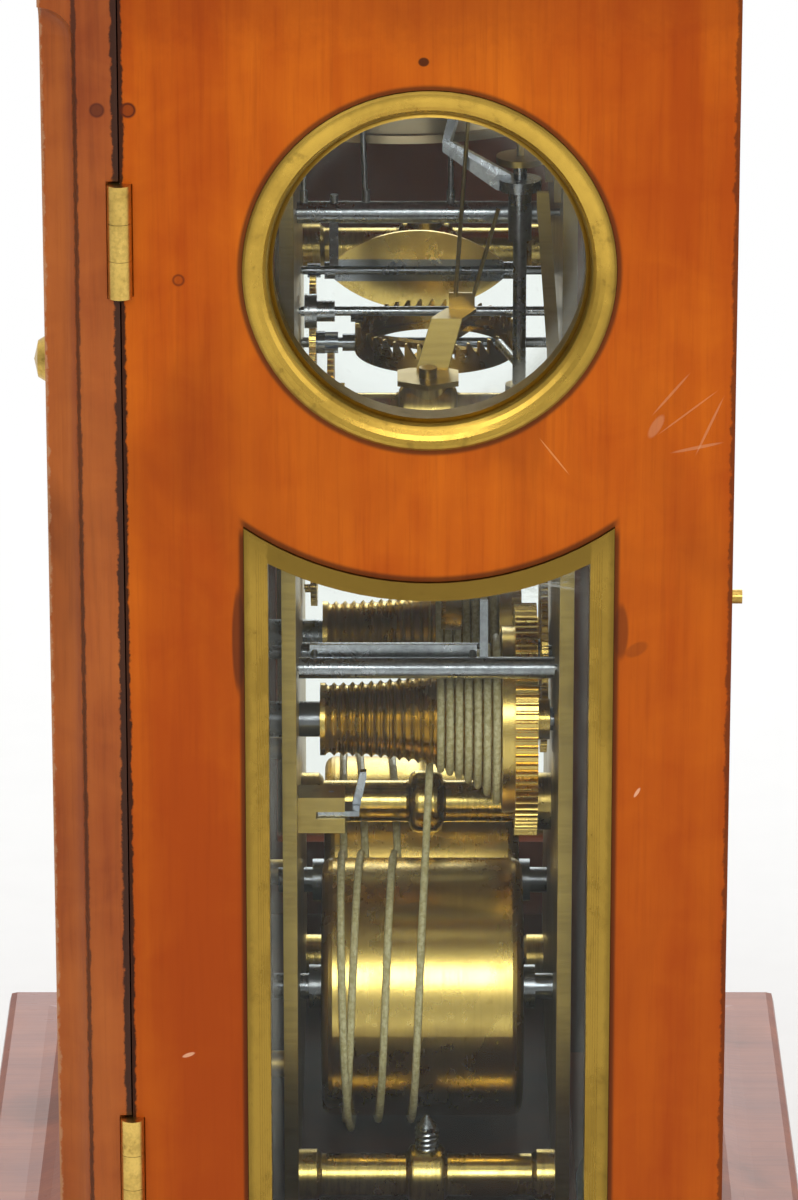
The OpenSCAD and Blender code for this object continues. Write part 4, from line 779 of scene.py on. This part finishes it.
def spiral(at: Flat, radius: float, start: float, sweep: float, shrink: float, steps: int) -> list[Flat]:
    """Work out a spiral that closes in on its middle.

    Args:
        at: its middle.
        radius: its radius at the start.
        start: angle of its first point, in degrees.
        sweep: angle that it turns through, in degrees.
        shrink: share of the radius that it loses.
        steps: number of its stretches.

    Returns:
        Its points.
    """
    points = []
    for i in range(steps + 1):
        share = i / steps
        a, r = math.radians(start + sweep * share), radius * (1 - shrink * share)
        points.append((at[0] + r * math.cos(a), at[1] + r * math.sin(a)))
    return points


def smooth(thing: bpy.types.Object, bevel: float = 0.0, sharp: float = 35.0) -> None:
    """Shade smooth with sharp edges kept, and round the edges if a bevel is given.

    Args:
        thing: mesh object.
        bevel: width of a rounded edge.
        sharp: edges over this angle, in degrees, stay sharp.
    """
    thing.data.shade_smooth()
    thing.data.set_sharp_from_angle(angle=math.radians(sharp))
    if bevel:
        rounded = thing.modifiers.new("edge", "BEVEL")
        rounded.width, rounded.segments = bevel * MM, 2
        rounded.limit_method, rounded.angle_limit = "ANGLE", math.radians(40)


def cover(node: str, material: bpy.types.Material, bevel: float, sharp: float) -> None:
    """Give one CAD node a material, smooth shading and rounded edges.

    Args:
        node: the node's name.
        material: its new material.
        bevel: width of a rounded edge.
        sharp: edges over this angle, in degrees, stay sharp.
    """
    thing = frame["nodes"][node]
    thing.data.materials.clear()
    thing.data.materials.append(material)
    smooth(thing, bevel, sharp)
    LOG.info("dressed %s as %s", node, material.name)


def dress(nodes: Iterable[str], finish: Finish, bevel: float = 0.0, sharp: float = 35.0) -> None:
    """Give CAD nodes one finish.

    Args:
        nodes: the nodes' names.
        finish: their finish.
        bevel: width of a rounded edge.
        sharp: edges over this angle, in degrees, stay sharp.
    """
    for node in nodes:
        cover(node, finish.made(), bevel, sharp)


class Shape:
    """A mesh piece of the scene that rides on a body, built in millimetres."""

    def __init__(self, name: str, finish: Finish, body: str = "case") -> None:
        """Start an empty piece."""
        self.name, self.finish, self.body = name, finish, body
        self.mesh = bmesh.new()

    def loop(self, spots: Iterable[Sequence[float]]) -> list[bmesh.types.BMVert]:
        """Add a vertex at each of the spots."""
        return [self.mesh.verts.new([value * MM for value in spot]) for spot in spots]

    def skin(self, loops: list[list[bmesh.types.BMVert]]) -> None:
        """Join each loop of vertices to the next with faces.

        Args:
            loops: loops with the same number of vertices.
        """
        for one, two in zip(loops, loops[1:]):
            for i in range(len(one)):
                j = (i + 1) % len(one)
                self.mesh.faces.new((one[i], one[j], two[j], two[i]))

    def capped(self, loops: list[list[bmesh.types.BMVert]]) -> "Shape":
        """Join loops of vertices and close both ends.

        Args:
            loops: loops with the same number of vertices, from end to end.

        Returns:
            This shape.
        """
        self.skin(loops)
        self.mesh.faces.new(list(reversed(loops[0])))
        self.mesh.faces.new(loops[-1])
        return self

    def circles(self, profile: Sequence[Flat], at: Point, steps: int) -> list[list[bmesh.types.BMVert]]:
        """Add a circle of vertices round the Y axis for each point of a profile.

        Args:
            profile: (radius, height) points.
            at: point on the axis from which heights count.
            steps: corners of a circle.

        Returns:
            The circles, in the profile's order.
        """
        x, y, z = at
        turn = [2 * math.pi * i / steps for i in range(steps)]
        return [
            self.loop((x + r * math.sin(a), y + h, z + r * math.cos(a)) for a in turn) for r, h in profile
        ]

    def lathe(self, profile: Sequence[Flat], at: Point, steps: int = 96) -> "Shape":
        """Turn an open profile round the Y axis through a point, and close its ends."""
        return self.capped(self.circles(profile, at, steps))

    def ring(
        self, inner: float, outer: float, low: float, high: float, at: Point, steps: int = 144
    ) -> "Shape":
        """Add a flat ring round the Y axis through a point, with its outer edge rounded off.

        Args:
            inner: radius of the hole.
            outer: radius of the edge.
            low: height of the front face, from the point.
            high: height of the back face.
            at: point on the axis.
            steps: corners of a turn.

        Returns:
            This shape.
        """
        soft = min(0.25, (high - low) / 3)
        profile = ((inner, high), (inner, low), (outer - soft, low), (outer, low + soft), (outer, high))
        loops = self.circles(profile, at, steps)
        self.skin(loops + loops[:1])
        return self

    def outline(self, points: Sequence[Flat], low: float, high: float) -> "Shape":
        """Add a flat outline of (x, z) points, from low to high along Y."""
        return self.capped([self.loop((x, y, z) for x, z in points) for y in (low, high)])

    def tube(self, path: Sequence[Point], radii: float | Sequence[float], sides: int = 8) -> "Shape":
        """Sweep a round section along a path.

        Args:
            path: its points.
            radii: one radius, or one for each point.
            sides: corners of the section.

        Returns:
            This shape.
        """
        points = [Vector(p) for p in path]
        if isinstance(radii, (int, float)):
            radii = [radii] * len(points)
        turn = [2 * math.pi * k / sides for k in range(sides)]
        loops = []
        side = Vector((0, 0, 1))
        for i, (point, r) in enumerate(zip(points, radii)):
            ahead = (points[min(i + 1, len(points) - 1)] - points[max(i - 1, 0)]).normalized()
            side = side - ahead * side.dot(ahead)
            if side.length < 1e-3:
                side = ahead.orthogonal()
            side.normalize()
            other = ahead.cross(side)
            loops.append(self.loop(point + (side * math.cos(a) + other * math.sin(a)) * r for a in turn))
        return self.capped(loops)

    def made(self, sharp: float = 35.0) -> bpy.types.Object:
        """Turn the mesh into an object.

        Args:
            sharp: edges over this angle, in degrees, stay sharp.

        Returns:
            The object, riding on its body.
        """
        bmesh.ops.recalc_face_normals(self.mesh, faces=self.mesh.faces[:])
        data = bpy.data.meshes.new(self.name)
        self.mesh.to_mesh(data)
        self.mesh.free()
        thing = bpy.data.objects.new(self.name, data)
        bpy.context.scene.collection.objects.link(thing)
        data.materials.append(self.finish.made())
        smooth(thing, sharp=sharp)
        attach(thing, self.body)
        LOG.info("made %s", self.name)
        return thing


@dataclass
class Case:
    """The mahogany case with its doors, mouldings, handle and hinges."""

    board_edge: float = 0.3
    moulding_edge: float = 0.4
    brass_edge: float = 0.1
    hinge_edge: float = 0.15

    def dress(self) -> None:
        """Finish the case's CAD nodes."""
        dress(("right_side", "left_side"), Finish.SIDE, self.board_edge)
        dress(("front_door", "back_door"), Finish.DOOR, self.moulding_edge)
        dress(("top_board", "bell_top"), Finish.TOP, self.moulding_edge)
        dress(("base_moulding",), Finish.BASE, self.moulding_edge)
        dress(("front_mask", "seatboard", "seat_rails"), Finish.INSIDE, self.board_edge)
        brasses = ("handle_posts", "handle_bail", "door_knob", "back_knob")
        dress(brasses, Finish.BRIGHT_BRASS, self.brass_edge)
        hinges = ("case_hinge_leaves", "door_hinge_leaves", "back_hinges")
        dress(hinges, Finish.BRIGHT_BRASS, self.hinge_edge)
        dress(("door_glass", "back_glass"), Finish.DOOR_GLASS)


@dataclass
class Windows:
    """Round and shaped side windows."""

    brass_edge: float = 0.12
    brass_sharp: float = 28.0

    def dress(self) -> None:
        """Finish the windows' CAD nodes."""
        dress(("round_bezels", "shaped_frames"), Finish.RIM_BRASS, self.brass_edge, self.brass_sharp)
        dress(("round_glasses", "shaped_glasses"), Finish.GLASS)


@dataclass(frozen=True)
class Scroll:
    """An engraved scroll on one half of the back plate: its middle, size and turns."""

    x: float
    z: float
    size: float
    start: float
    turns: float

    def path(self, side: int, y: float, steps: int) -> list[Point]:
        """The scroll's points at depth y, in a number of steps, mirrored where side is -1."""
        line = spiral((self.x, self.z), self.size, self.start, -360 * self.turns, 0.86, steps)
        return [(side * x, y, z) for x, z in line]


@dataclass
class Movement:
    """The twin-fusee movement.

    cores gives the radius of the steel arbor at the heart of a turned piece, where it isn't the usual
    one. The engraved border keeps its insets from the back plate's edges, and border_foot more below.
    """

    bright: Colour = (0.74, 0.53, 0.15)
    dull: Colour = (0.46, 0.31, 0.08)
    stain: Colour = (0.13, 0.085, 0.025)
    usual_core: float = 3.4
    cores: dict[str, float] = field(
        default_factory=lambda: {
            "going_fusee": 4.3, "strike_fusee": 4.3, "crown_wheel": 1.6, "going_barrel": 5.2,
            "strike_barrel": 5.2, "motion_wheel": 1.4, "hour_wheel": 0.5, "centre_wheel": 3.3, "fly": 2.6,
        }
    )
    wheels: tuple[str, ...] = (
        "going_fusee", "strike_fusee", "going_barrel", "strike_barrel", "centre_wheel", "contrate_wheel",
        "crown_wheel", "pin_wheel", "hoop_wheel", "warning_wheel", "fly", "motion_wheel", "hour_wheel",
    )
    wheel_sharp: float = 32.0
    gut_sharp: float = 60.0
    plate_edge: float = 0.25
    bell_edge: float = 0.2
    cock_edge: float = 0.15
    pillar_edge: float = 0.1
    steel_edge: float = 0.08
    bolt_head_r: float = 6.0
    thread_r: float = 2.4
    thread_wire: float = 0.34
    thread_pitch: float = 1.2
    thread_turns: int = 6
    thread_steps: int = 16
    thread_length: float = 10.2
    scrolls: tuple[Scroll, ...] = (
        Scroll(30, 262, 20, 60, 1.6), Scroll(50, 300, 13, 200, 1.5), Scroll(24, 306, 10, 90, 1.4),
        Scroll(52, 226, 12, 20, 1.5), Scroll(24, 168, 17, 130, 1.6), Scroll(52, 150, 12, 300, 1.4),
        Scroll(30, 128, 11, 40, 1.5), Scroll(52, 186, 10, 90, 1.4),
    )
    scroll_steps: int = 44
    cut_thin: float = 0.12
    cut_swell: float = 0.36
    border_insets: tuple[float, ...] = (3.0, 4.6)
    border_foot: float = 5.0
    border_wire: float = 0.13

    def turned(self, node: str) -> None:
        """Finish a turned piece about its own joint's axis.

        Args:
            node: the piece's name.
        """
        bodies = frame["record"]["behaviour"]["bodies"]
        body = next(name for name, nodes in bodies.items() if node in nodes)
        joint = next(j for j in frame["joints"] if j["child"] == body)
        metal = Turned(
            node + "_metal", self.bright, self.dull, self.stain,
            centre=tuple(value / MM for value in joint["pos_m"]),
            upright=abs(joint["axis"][2]) > 0.5,
            core=self.cores.get(node, self.usual_core),
        )
        cover(node, metal.material(), 0.0, self.wheel_sharp)

    def dress(self) -> None:
        """Finish the movement's CAD nodes."""
        dress(("front_plate", "back_plate"), Finish.PLATE_BRASS, self.plate_edge)
        pillars = ("lower_pillars", "upper_pillars", "centre_pillar", "pendulum_bob")
        dress(pillars, Finish.BARREL_BRASS, self.pillar_edge)
        for node in self.wheels:
            self.turned(node)
        cocks = ("potence", "back_cock", "hammer_cock", "hammer_spring", "bell_stand")
        dress(cocks, Finish.PLATE_BRASS, self.cock_edge)
        rods = ("seat_bolts", "verge", "pendulum_rod", "hammer", "lever_arbor", "detent_arbor", "stop_lever")
        dress(rods, Finish.STEEL, self.steel_edge)
        dress(("going_gut", "strike_gut"), Finish.GUT, sharp=self.gut_sharp)
        dress(("bell",), Finish.BELL, self.bell_edge)

    def bolt_threads(self) -> None:
        """Cut the thread on the tips of the bolts that stand in the lower pillars."""
        low, high = box_mm("seat_bolts")
        x, y, foot = high[0] - self.bolt_head_r, (low[1] + high[1]) / 2, high[2] - self.thread_length
        for side, word in ((-1, "left"), (1, "right")):
            coil = []
            for i in range(self.thread_turns * self.thread_steps + 1):
                turns = i / self.thread_steps
                a, z = 2 * math.pi * turns, foot + self.thread_pitch * turns
                coil.append((side * x + self.thread_r * math.cos(a), y + self.thread_r * math.sin(a), z))
            Shape("bolt_thread_" + word, Finish.STEEL).tube(coil, self.thread_wire, 6).made()

    def plate_engraving(self) -> None:
        """Wax-filled scrolls of a common kind cut in the back plate, with a double border."""
        low, high = box_mm("back_plate")
        piece = Shape("plate_scrolls", Finish.WAX)
        shares = [i / self.scroll_steps for i in range(self.scroll_steps + 1)]
        cut = [self.cut_thin + self.cut_swell * math.sin(math.pi * (0.15 + 0.8 * share)) for share in shares]
        for side in (-1, 1):
            for scroll in self.scrolls:
                piece.tube(scroll.path(side, high[1], self.scroll_steps), cut, 6)
        for inset in self.border_insets:
            left, right = low[0] + inset, high[0] - inset
            foot, top = low[2] + self.border_foot + inset, high[2] - inset
            corners = [(x, high[1], z) for x, z in ((left, foot), (right, foot), (right, top), (left, top))]
            for one, two in zip(corners, corners[1:] + corners[:1]):
                piece.tube([one, two], self.border_wire, 6)
        piece.made()

    def build(self) -> None:
        """Make the movement's fine pieces."""
        self.bolt_threads()
        self.plate_engraving()


@dataclass
class Dial:
    """The dial with its chapter ring, corner ornaments, boss and collars.

    On the chapter ring, inner, outer, foot, head, circles, minutes and quarters are radii, and the
    serifs' values are widths. The corners' and the boss's places are from the clock's middle and foot.
    """

    dial_edge: float = 0.15
    hand_edge: float = 0.1
    inner: float = 62.0
    outer: float = 88.0
    thick: float = 1.0
    sunk: float = 0.2
    ring_sharp: float = 40.0
    ink: float = 0.12
    ink_bite: float = 0.05
    numerals: tuple[str, ...] = ("XII", "I", "II", "III", "IIII", "V", "VI", "VII", "VIII", "IX", "X", "XI")
    foot: float = 65.5
    head: float = 79.5
    narrow: float = 3.3
    wide: float = 9.0
    letter_gap: float = 1.2
    thick_stroke: float = 1.9
    thin_stroke: float = 0.55
    serif: float = 0.6
    serif_i: float = 3.0
    serif_v: Flat = (2.8, 2.4)
    serif_x: float = 2.6
    circles: tuple[float, ...] = (63.0, 64.0, 82.6, 86.4)
    circle_line: float = 0.28
    minutes: Flat = (82.8, 86.5)
    five_minute_line: float = 1.1
    minute_line: float = 0.35
    quarters: Flat = (63.1, 64.1)
    quarter_line: float = 0.3
    corner_x: float = 76.5
    corner_levels: Flat = (127.0, 276.0)
    stem_depth: float = 0.3
    stem_sharp: float = 50.0
    boss_z: float = 326.0
    boss_r: float = 24.0
    dome_r: float = 19.2
    dome_rise: float = 1.9
    ray_foot: float = 25.6
    ray_tips: Flat = (30.0, 33.0)
    ray_radii: Flat = (0.35, 0.12)
    collar_inner: float = 4.4
    collar_outer: float = 6.8
    collar_thick: float = 0.8

    def __post_init__(self) -> None:
        """Find the dial's face and the hands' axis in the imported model."""
        self.face = box_mm("dial")[0][1]
        joint = next(j for j in frame["joints"] if j["name"] == "centre_arbor_turn")
        self.axis = (joint["pos_m"][0] / MM, self.face, joint["pos_m"][2] / MM)

    def dress(self) -> None:
        """Finish the dial's CAD nodes."""
        dress(("dial",), Finish.DIAL_BRASS, self.dial_edge)
        dress(("minute_hand", "hour_hand"), Finish.BLUED, self.hand_edge)

    def stroke(self, piece: Shape, hour: float, one: Flat, two: Flat, wide: float) -> None:
        """Add one inked stroke.

        Args:
            piece: shape that takes the stroke.
            hour: place on the ring, in hours from twelve.
            one: first end, across and outward from the ring's centre.
            two: second end.
            wide: width across the ring's circle.
        """
        a = math.radians(hour * 30)
        points = []
        for end, shift in ((one, -wide / 2), (one, wide / 2), (two, wide / 2), (two, -wide / 2)):
            across, out = end[0] + shift, end[1]
            x = across * math.cos(a) + out * math.sin(a)
            z = -across * math.sin(a) + out * math.cos(a)
            points.append((self.axis[0] + x, self.axis[2] + z))
        top = self.face - self.thick
        piece.outline(points, top - self.ink, top + self.ink_bite)

    def letter(self, piece: Shape, hour: int, letter: str, at: float) -> float:
        """Draw one letter of a numeral, its foot towards the centre.

        Args:
            piece: shape that takes the letter.
            hour: place on the ring, in hours from twelve.
            letter: I, V or X.
            at: where the letter begins, across the ring's circle.

        Returns:
            Where the next letter begins.
        """
        width = self.narrow if letter == "I" else self.wide
        mid, half = at + width / 2, width / 2 - self.letter_gap
        left, right = mid - half, mid + half
        foot, head, thick, thin = self.foot, self.head, self.thick_stroke, self.thin_stroke
        if letter == "I":
            strokes = [((mid, foot), (mid, head), thick)]
            serifs = [(mid, level, self.serif_i) for level in (foot, head)]
        elif letter == "V":
            strokes = [((left, head), (mid + 0.2, foot), thick), ((right, head), (mid - 0.1, foot), thin)]
            serifs = [(left, head, self.serif_v[0]), (right, head, self.serif_v[1])]
        else:
            strokes = [((left, head), (right, foot), thick), ((right, head), (left, foot), thin)]
            serifs = [(across, level, self.serif_x) for across in (left, right) for level in (foot, head)]
        for one, two, wide in strokes:
            self.stroke(piece, hour, one, two, wide)
        for across, level, wide in serifs:
            ends = ((across, level - self.serif / 2), (across, level + self.serif / 2))
            self.stroke(piece, hour, *ends, wide)
        return at + width

    def chapter_ring(self) -> None:
        """Silvered ring with hour numerals, a minute track and quarter marks."""
        ring = Shape("chapter_ring", Finish.SILVER)
        ring.ring(self.inner, self.outer, -self.thick, self.sunk, self.axis).made(self.ring_sharp)
        marks = Shape("hour_numerals", Finish.WAX)
        for hour, word in enumerate(self.numerals):
            at = -sum(self.narrow if letter == "I" else self.wide for letter in word) / 2
            for letter in word:
                at = self.letter(marks, hour, letter, at)
        marks.made()
        track = Shape("minute_track", Finish.WAX)
        low, high = -self.thick - self.ink, -self.thick + self.ink_bite
        for radius in self.circles:
            track.ring(radius, radius + self.circle_line, low, high, self.axis)
        for minute in range(60):
            wide = self.minute_line if minute % 5 else self.five_minute_line
            self.stroke(track, minute / 5, (0, self.minutes[0]), (0, self.minutes[1]), wide)
        for quarter in range(48):
            self.stroke(track, quarter / 4, (0, self.quarters[0]), (0, self.quarters[1]), self.quarter_line)
        track.made()

    def stems(self) -> list[tuple[list[Flat], float]]:
        """Draw one half of a corner ornament, out from the corner's middle.

        Returns:
            A curl, a stem, a hook and three leaves: points and thickness of each.
        """
        curl = spiral((8.5, -5.5), 6.4, 200, -460, 0.7, 24)
        stem = [(12 - 0.9 * i, 14 - 1.25 * i + 0.055 * i * i) for i in range(18)]
        hook = spiral((13.5, -17.5), 4.2, -60, 400, 0.65, 18)
        leaves = []
        for lean in (math.radians(12 + 26 * k) for k in range(3)):
            leaf = [(9 + 1.1 * j * math.cos(lean), 9 + 1.1 * j * math.sin(lean)) for j in range(8)]
            leaves.append((leaf, 1.3))
        return [(curl, 1.25), (stem, 1.0), (hook, 0.9), *leaves]

    def ornaments(self) -> None:
        """Cast scrolls and leaves in the four corners of the dial."""
        depth = self.face - self.stem_depth
        corners = [(side, z) for z in self.corner_levels for side in (-1, 1)]
        for number, (side, z) in enumerate(corners):
            rise = 1 if z > self.axis[2] else -1
            piece = Shape(f"corner_scrolls_{number}", Finish.BRIGHT_BRASS)
            for mirrored in (False, True):
                for points, fat in self.stems():
                    turned = [(v, u) if mirrored else (u, v) for u, v in points]
                    path = [(side * (self.corner_x + u), depth, z + rise * v) for u, v in turned]
                    shares = [(i + 1) / (len(path) + 1) for i in range(len(path))]
                    piece.tube(path, [fat * (0.4 + 0.6 * math.sin(math.pi * share)) for share in shares])
            piece.made(self.stem_sharp)

    def arch_boss(self) -> None:
        """Domed boss with a moulded ring and engraved rays in the arch."""
        r, foot = self.boss_r, -0.6
        profile = [(r, self.sunk), (r, -0.7), (r - 0.8, -1.2), (r - 2.2, -1.2), (r - 2.8, foot)]
        profile.append((r - 4.4, foot + 0.1))
        for a in (math.radians(degrees) for degrees in range(0, 90, 10)):
            profile.append((self.dome_r * math.cos(a), foot - self.dome_rise * math.sin(a)))
        profile.append((0.2, foot - self.dome_rise))
        middle = (0.0, self.face, self.boss_z)
        Shape("arch_boss", Finish.SILVER).lathe(profile, middle).made(self.ring_sharp)
        rays = Shape("arch_rays", Finish.WAX)
        for i in range(24):
            a = 2 * math.pi * i / 24
            ends = (self.ray_foot, self.ray_tips[i % 2])
            path = [(r * math.cos(a), self.face, self.boss_z + r * math.sin(a)) for r in ends]
            rays.tube(path, self.ray_radii, 6)
        rays.made()

    def collars(self) -> None:
        """Turned collars round the winding holes."""
        for node in ("going_fusee", "strike_fusee"):
            low, high = box_mm(node)
            at = ((low[0] + high[0]) / 2, self.face, (low[2] + high[2]) / 2)
            collar = Shape(node + "_collar", Finish.BRIGHT_BRASS)
            collar.ring(self.collar_inner, self.collar_outer, -self.collar_thick, self.sunk, at, 64)
            collar.made(self.ring_sharp)

    def build(self) -> None:
        """Make the dial's pieces."""
        self.chapter_ring()
        self.ornaments()
        self.arch_boss()
        self.collars()


def aimed(name: str, data: bpy.types.ID, spot: Point | Vector, ahead: Vector) -> bpy.types.Object:
    """Link a lamp or camera.

    Args:
        name: its name.
        data: the lamp's or camera's data.
        spot: where it stands, in metres.
        ahead: direction in which it looks.

    Returns:
        The new object.
    """
    thing = bpy.data.objects.new(name, data)
    bpy.context.scene.collection.objects.link(thing)
    thing.location = spot
    thing.rotation_mode = "QUATERNION"
    thing.rotation_quaternion = ahead.to_track_quat("-Z", "Y")
    return thing


@dataclass(frozen=True)
class Lamp:
    """A soft rectangular lamp, in metres and watts."""

    name: str
    spot: Point
    size: Flat
    power: float

    def build(self, target: Point) -> None:
        """Add the lamp.

        Args:
            target: point at which it is aimed.
        """
        data = bpy.data.lights.new(self.name, "AREA")
        data.shape, data.energy = "RECTANGLE", self.power
        data.size, data.size_y = self.size
        aimed(self.name, data, self.spot, Vector(target) - Vector(self.spot))


@dataclass
class Studio:
    """Floor, lamps and the camera at the photograph's angle, in metres and degrees.

    shadow_reach is in millimetres: where the floor begins to turn white to the camera, and where
    it is white.
    """

    target: Point = (0.127, 0.0019, 0.263)
    tilt: float = 19.5
    distance: float = 1.4
    lens: float = 201.6
    sensor: float = 36.0
    clip: Flat = (0.05, 50.0)
    soft_light: float = 0.5
    room_light: float = 0.5
    floor_size: float = 60.0
    floor_drop: float = 0.0005
    floor_grey: Colour = (0.82, 0.82, 0.81)
    floor_pale: Colour = (0.86, 0.86, 0.85)
    shadow_reach: Flat = (250.0, 900.0)
    lit: Point = (0.0, 0.0, 0.25)
    lamps: tuple[Lamp, ...] = (
        Lamp("key_lamp", (1.5, -1.0, 1.5), (1.2, 1.2), 9),
        Lamp("fill_lamp", (1.4, 1.5, 0.8), (1.4, 1.4), 5.5),
        Lamp("front_lamp", (1.5, 0.05, 1.05), (0.7, 0.5), 9.5),
        Lamp("top_lamp", (0.2, 0.0, 2.0), (1.6, 1.6), 13),
        Lamp("far_lamp", (-1.6, 0.2, 0.9), (1.2, 1.2), 12),
    )

    def camera(self) -> None:
        """Place the camera to look along -X, tilted down."""
        data = bpy.data.cameras.new("camera")
        data.lens, data.sensor_width, data.sensor_fit = self.lens, self.sensor, "AUTO"
        data.clip_start, data.clip_end = self.clip
        a = math.radians(self.tilt)
        back = Vector((math.cos(a), 0, math.sin(a)))
        spot = Vector(self.target) + back * self.distance
        bpy.context.scene.camera = aimed("camera", data, spot, -back)

    def world(self) -> None:
        """Studio with a white backdrop behind the clock and a dimmer room behind the camera."""
        world = bpy.data.worlds.new("studio")
        world.use_nodes = True
        bpy.context.scene.world = world
        tree = Tree(world.node_tree)
        rays = ("Is Glossy Ray", "Is Transmission Ray", "Is Camera Ray")
        glossy, passed, camera = (tree.node("ShaderNodeLightPath", {}, {}, ray) for ray in rays)
        where = tree.node("ShaderNodeTexCoord", {}, {}, "Generated")
        along = tree.node("ShaderNodeSeparateXYZ", {}, {"Vector": where}, "X")
        room = along.over(-0.35, 0.6, 1.0, self.room_light)
        mirrored = glossy.most(passed)
        strength = mirrored * room + camera + (1 - mirrored.most(camera)) * self.soft_light
        white = {"Color": (1.0, 1.0, 1.0), "Strength": strength}
        tree.end("ShaderNodeOutputWorld", tree.node("ShaderNodeBackground", {}, white))

    def floor(self) -> None:
        """Pale floor under the clock, white to the camera away from the clock's shadow."""
        bpy.ops.mesh.primitive_plane_add(size=self.floor_size, location=(0, 0, -self.floor_drop))
        thing = bpy.context.object
        thing.name = "floor"
        s = Shader("floor_paint")
        grit = s.noise(s.place(), 60, detail=3, rough=0.5)
        paint = s.principled(Base_Color=s.mix(grit, self.floor_grey, self.floor_pale), Roughness=0.7)
        white = s.node("ShaderNodeEmission", {}, {"Color": (1.0, 1.0, 1.0), "Strength": 1.0})
        seen = s.node("ShaderNodeLightPath", {}, {}, "Is Camera Ray")
        x, y = s.axis("X"), s.axis("Y")
        away = ((x * x + y * y) ** 0.5).over(*self.shadow_reach)
        surface = s.node("ShaderNodeMixShader", {}, {0: away * seen, 1: paint, 2: white})
        thing.data.materials.append(s.finish(surface))

    def build(self) -> None:
        """Set up the whole studio."""
        self.camera()
        self.world()
        self.floor()
        for lamp in self.lamps:
            lamp.build(self.lit)
        bpy.context.scene.view_settings.view_transform = "Standard"
        LOG.info("set the floor, the camera and %d lamps", len(self.lamps))


def main() -> None:
    """Dress the clock, build its trim and set the studio."""
    logging.basicConfig(level=logging.INFO, format="%(message)s")
    movement, dial = Movement(), Dial()
    for part in (Case(), Windows(), movement, dial):
        part.dress()
    movement.build()
    dial.build()
    Studio().build()


if __name__ == "__main__":
    main()
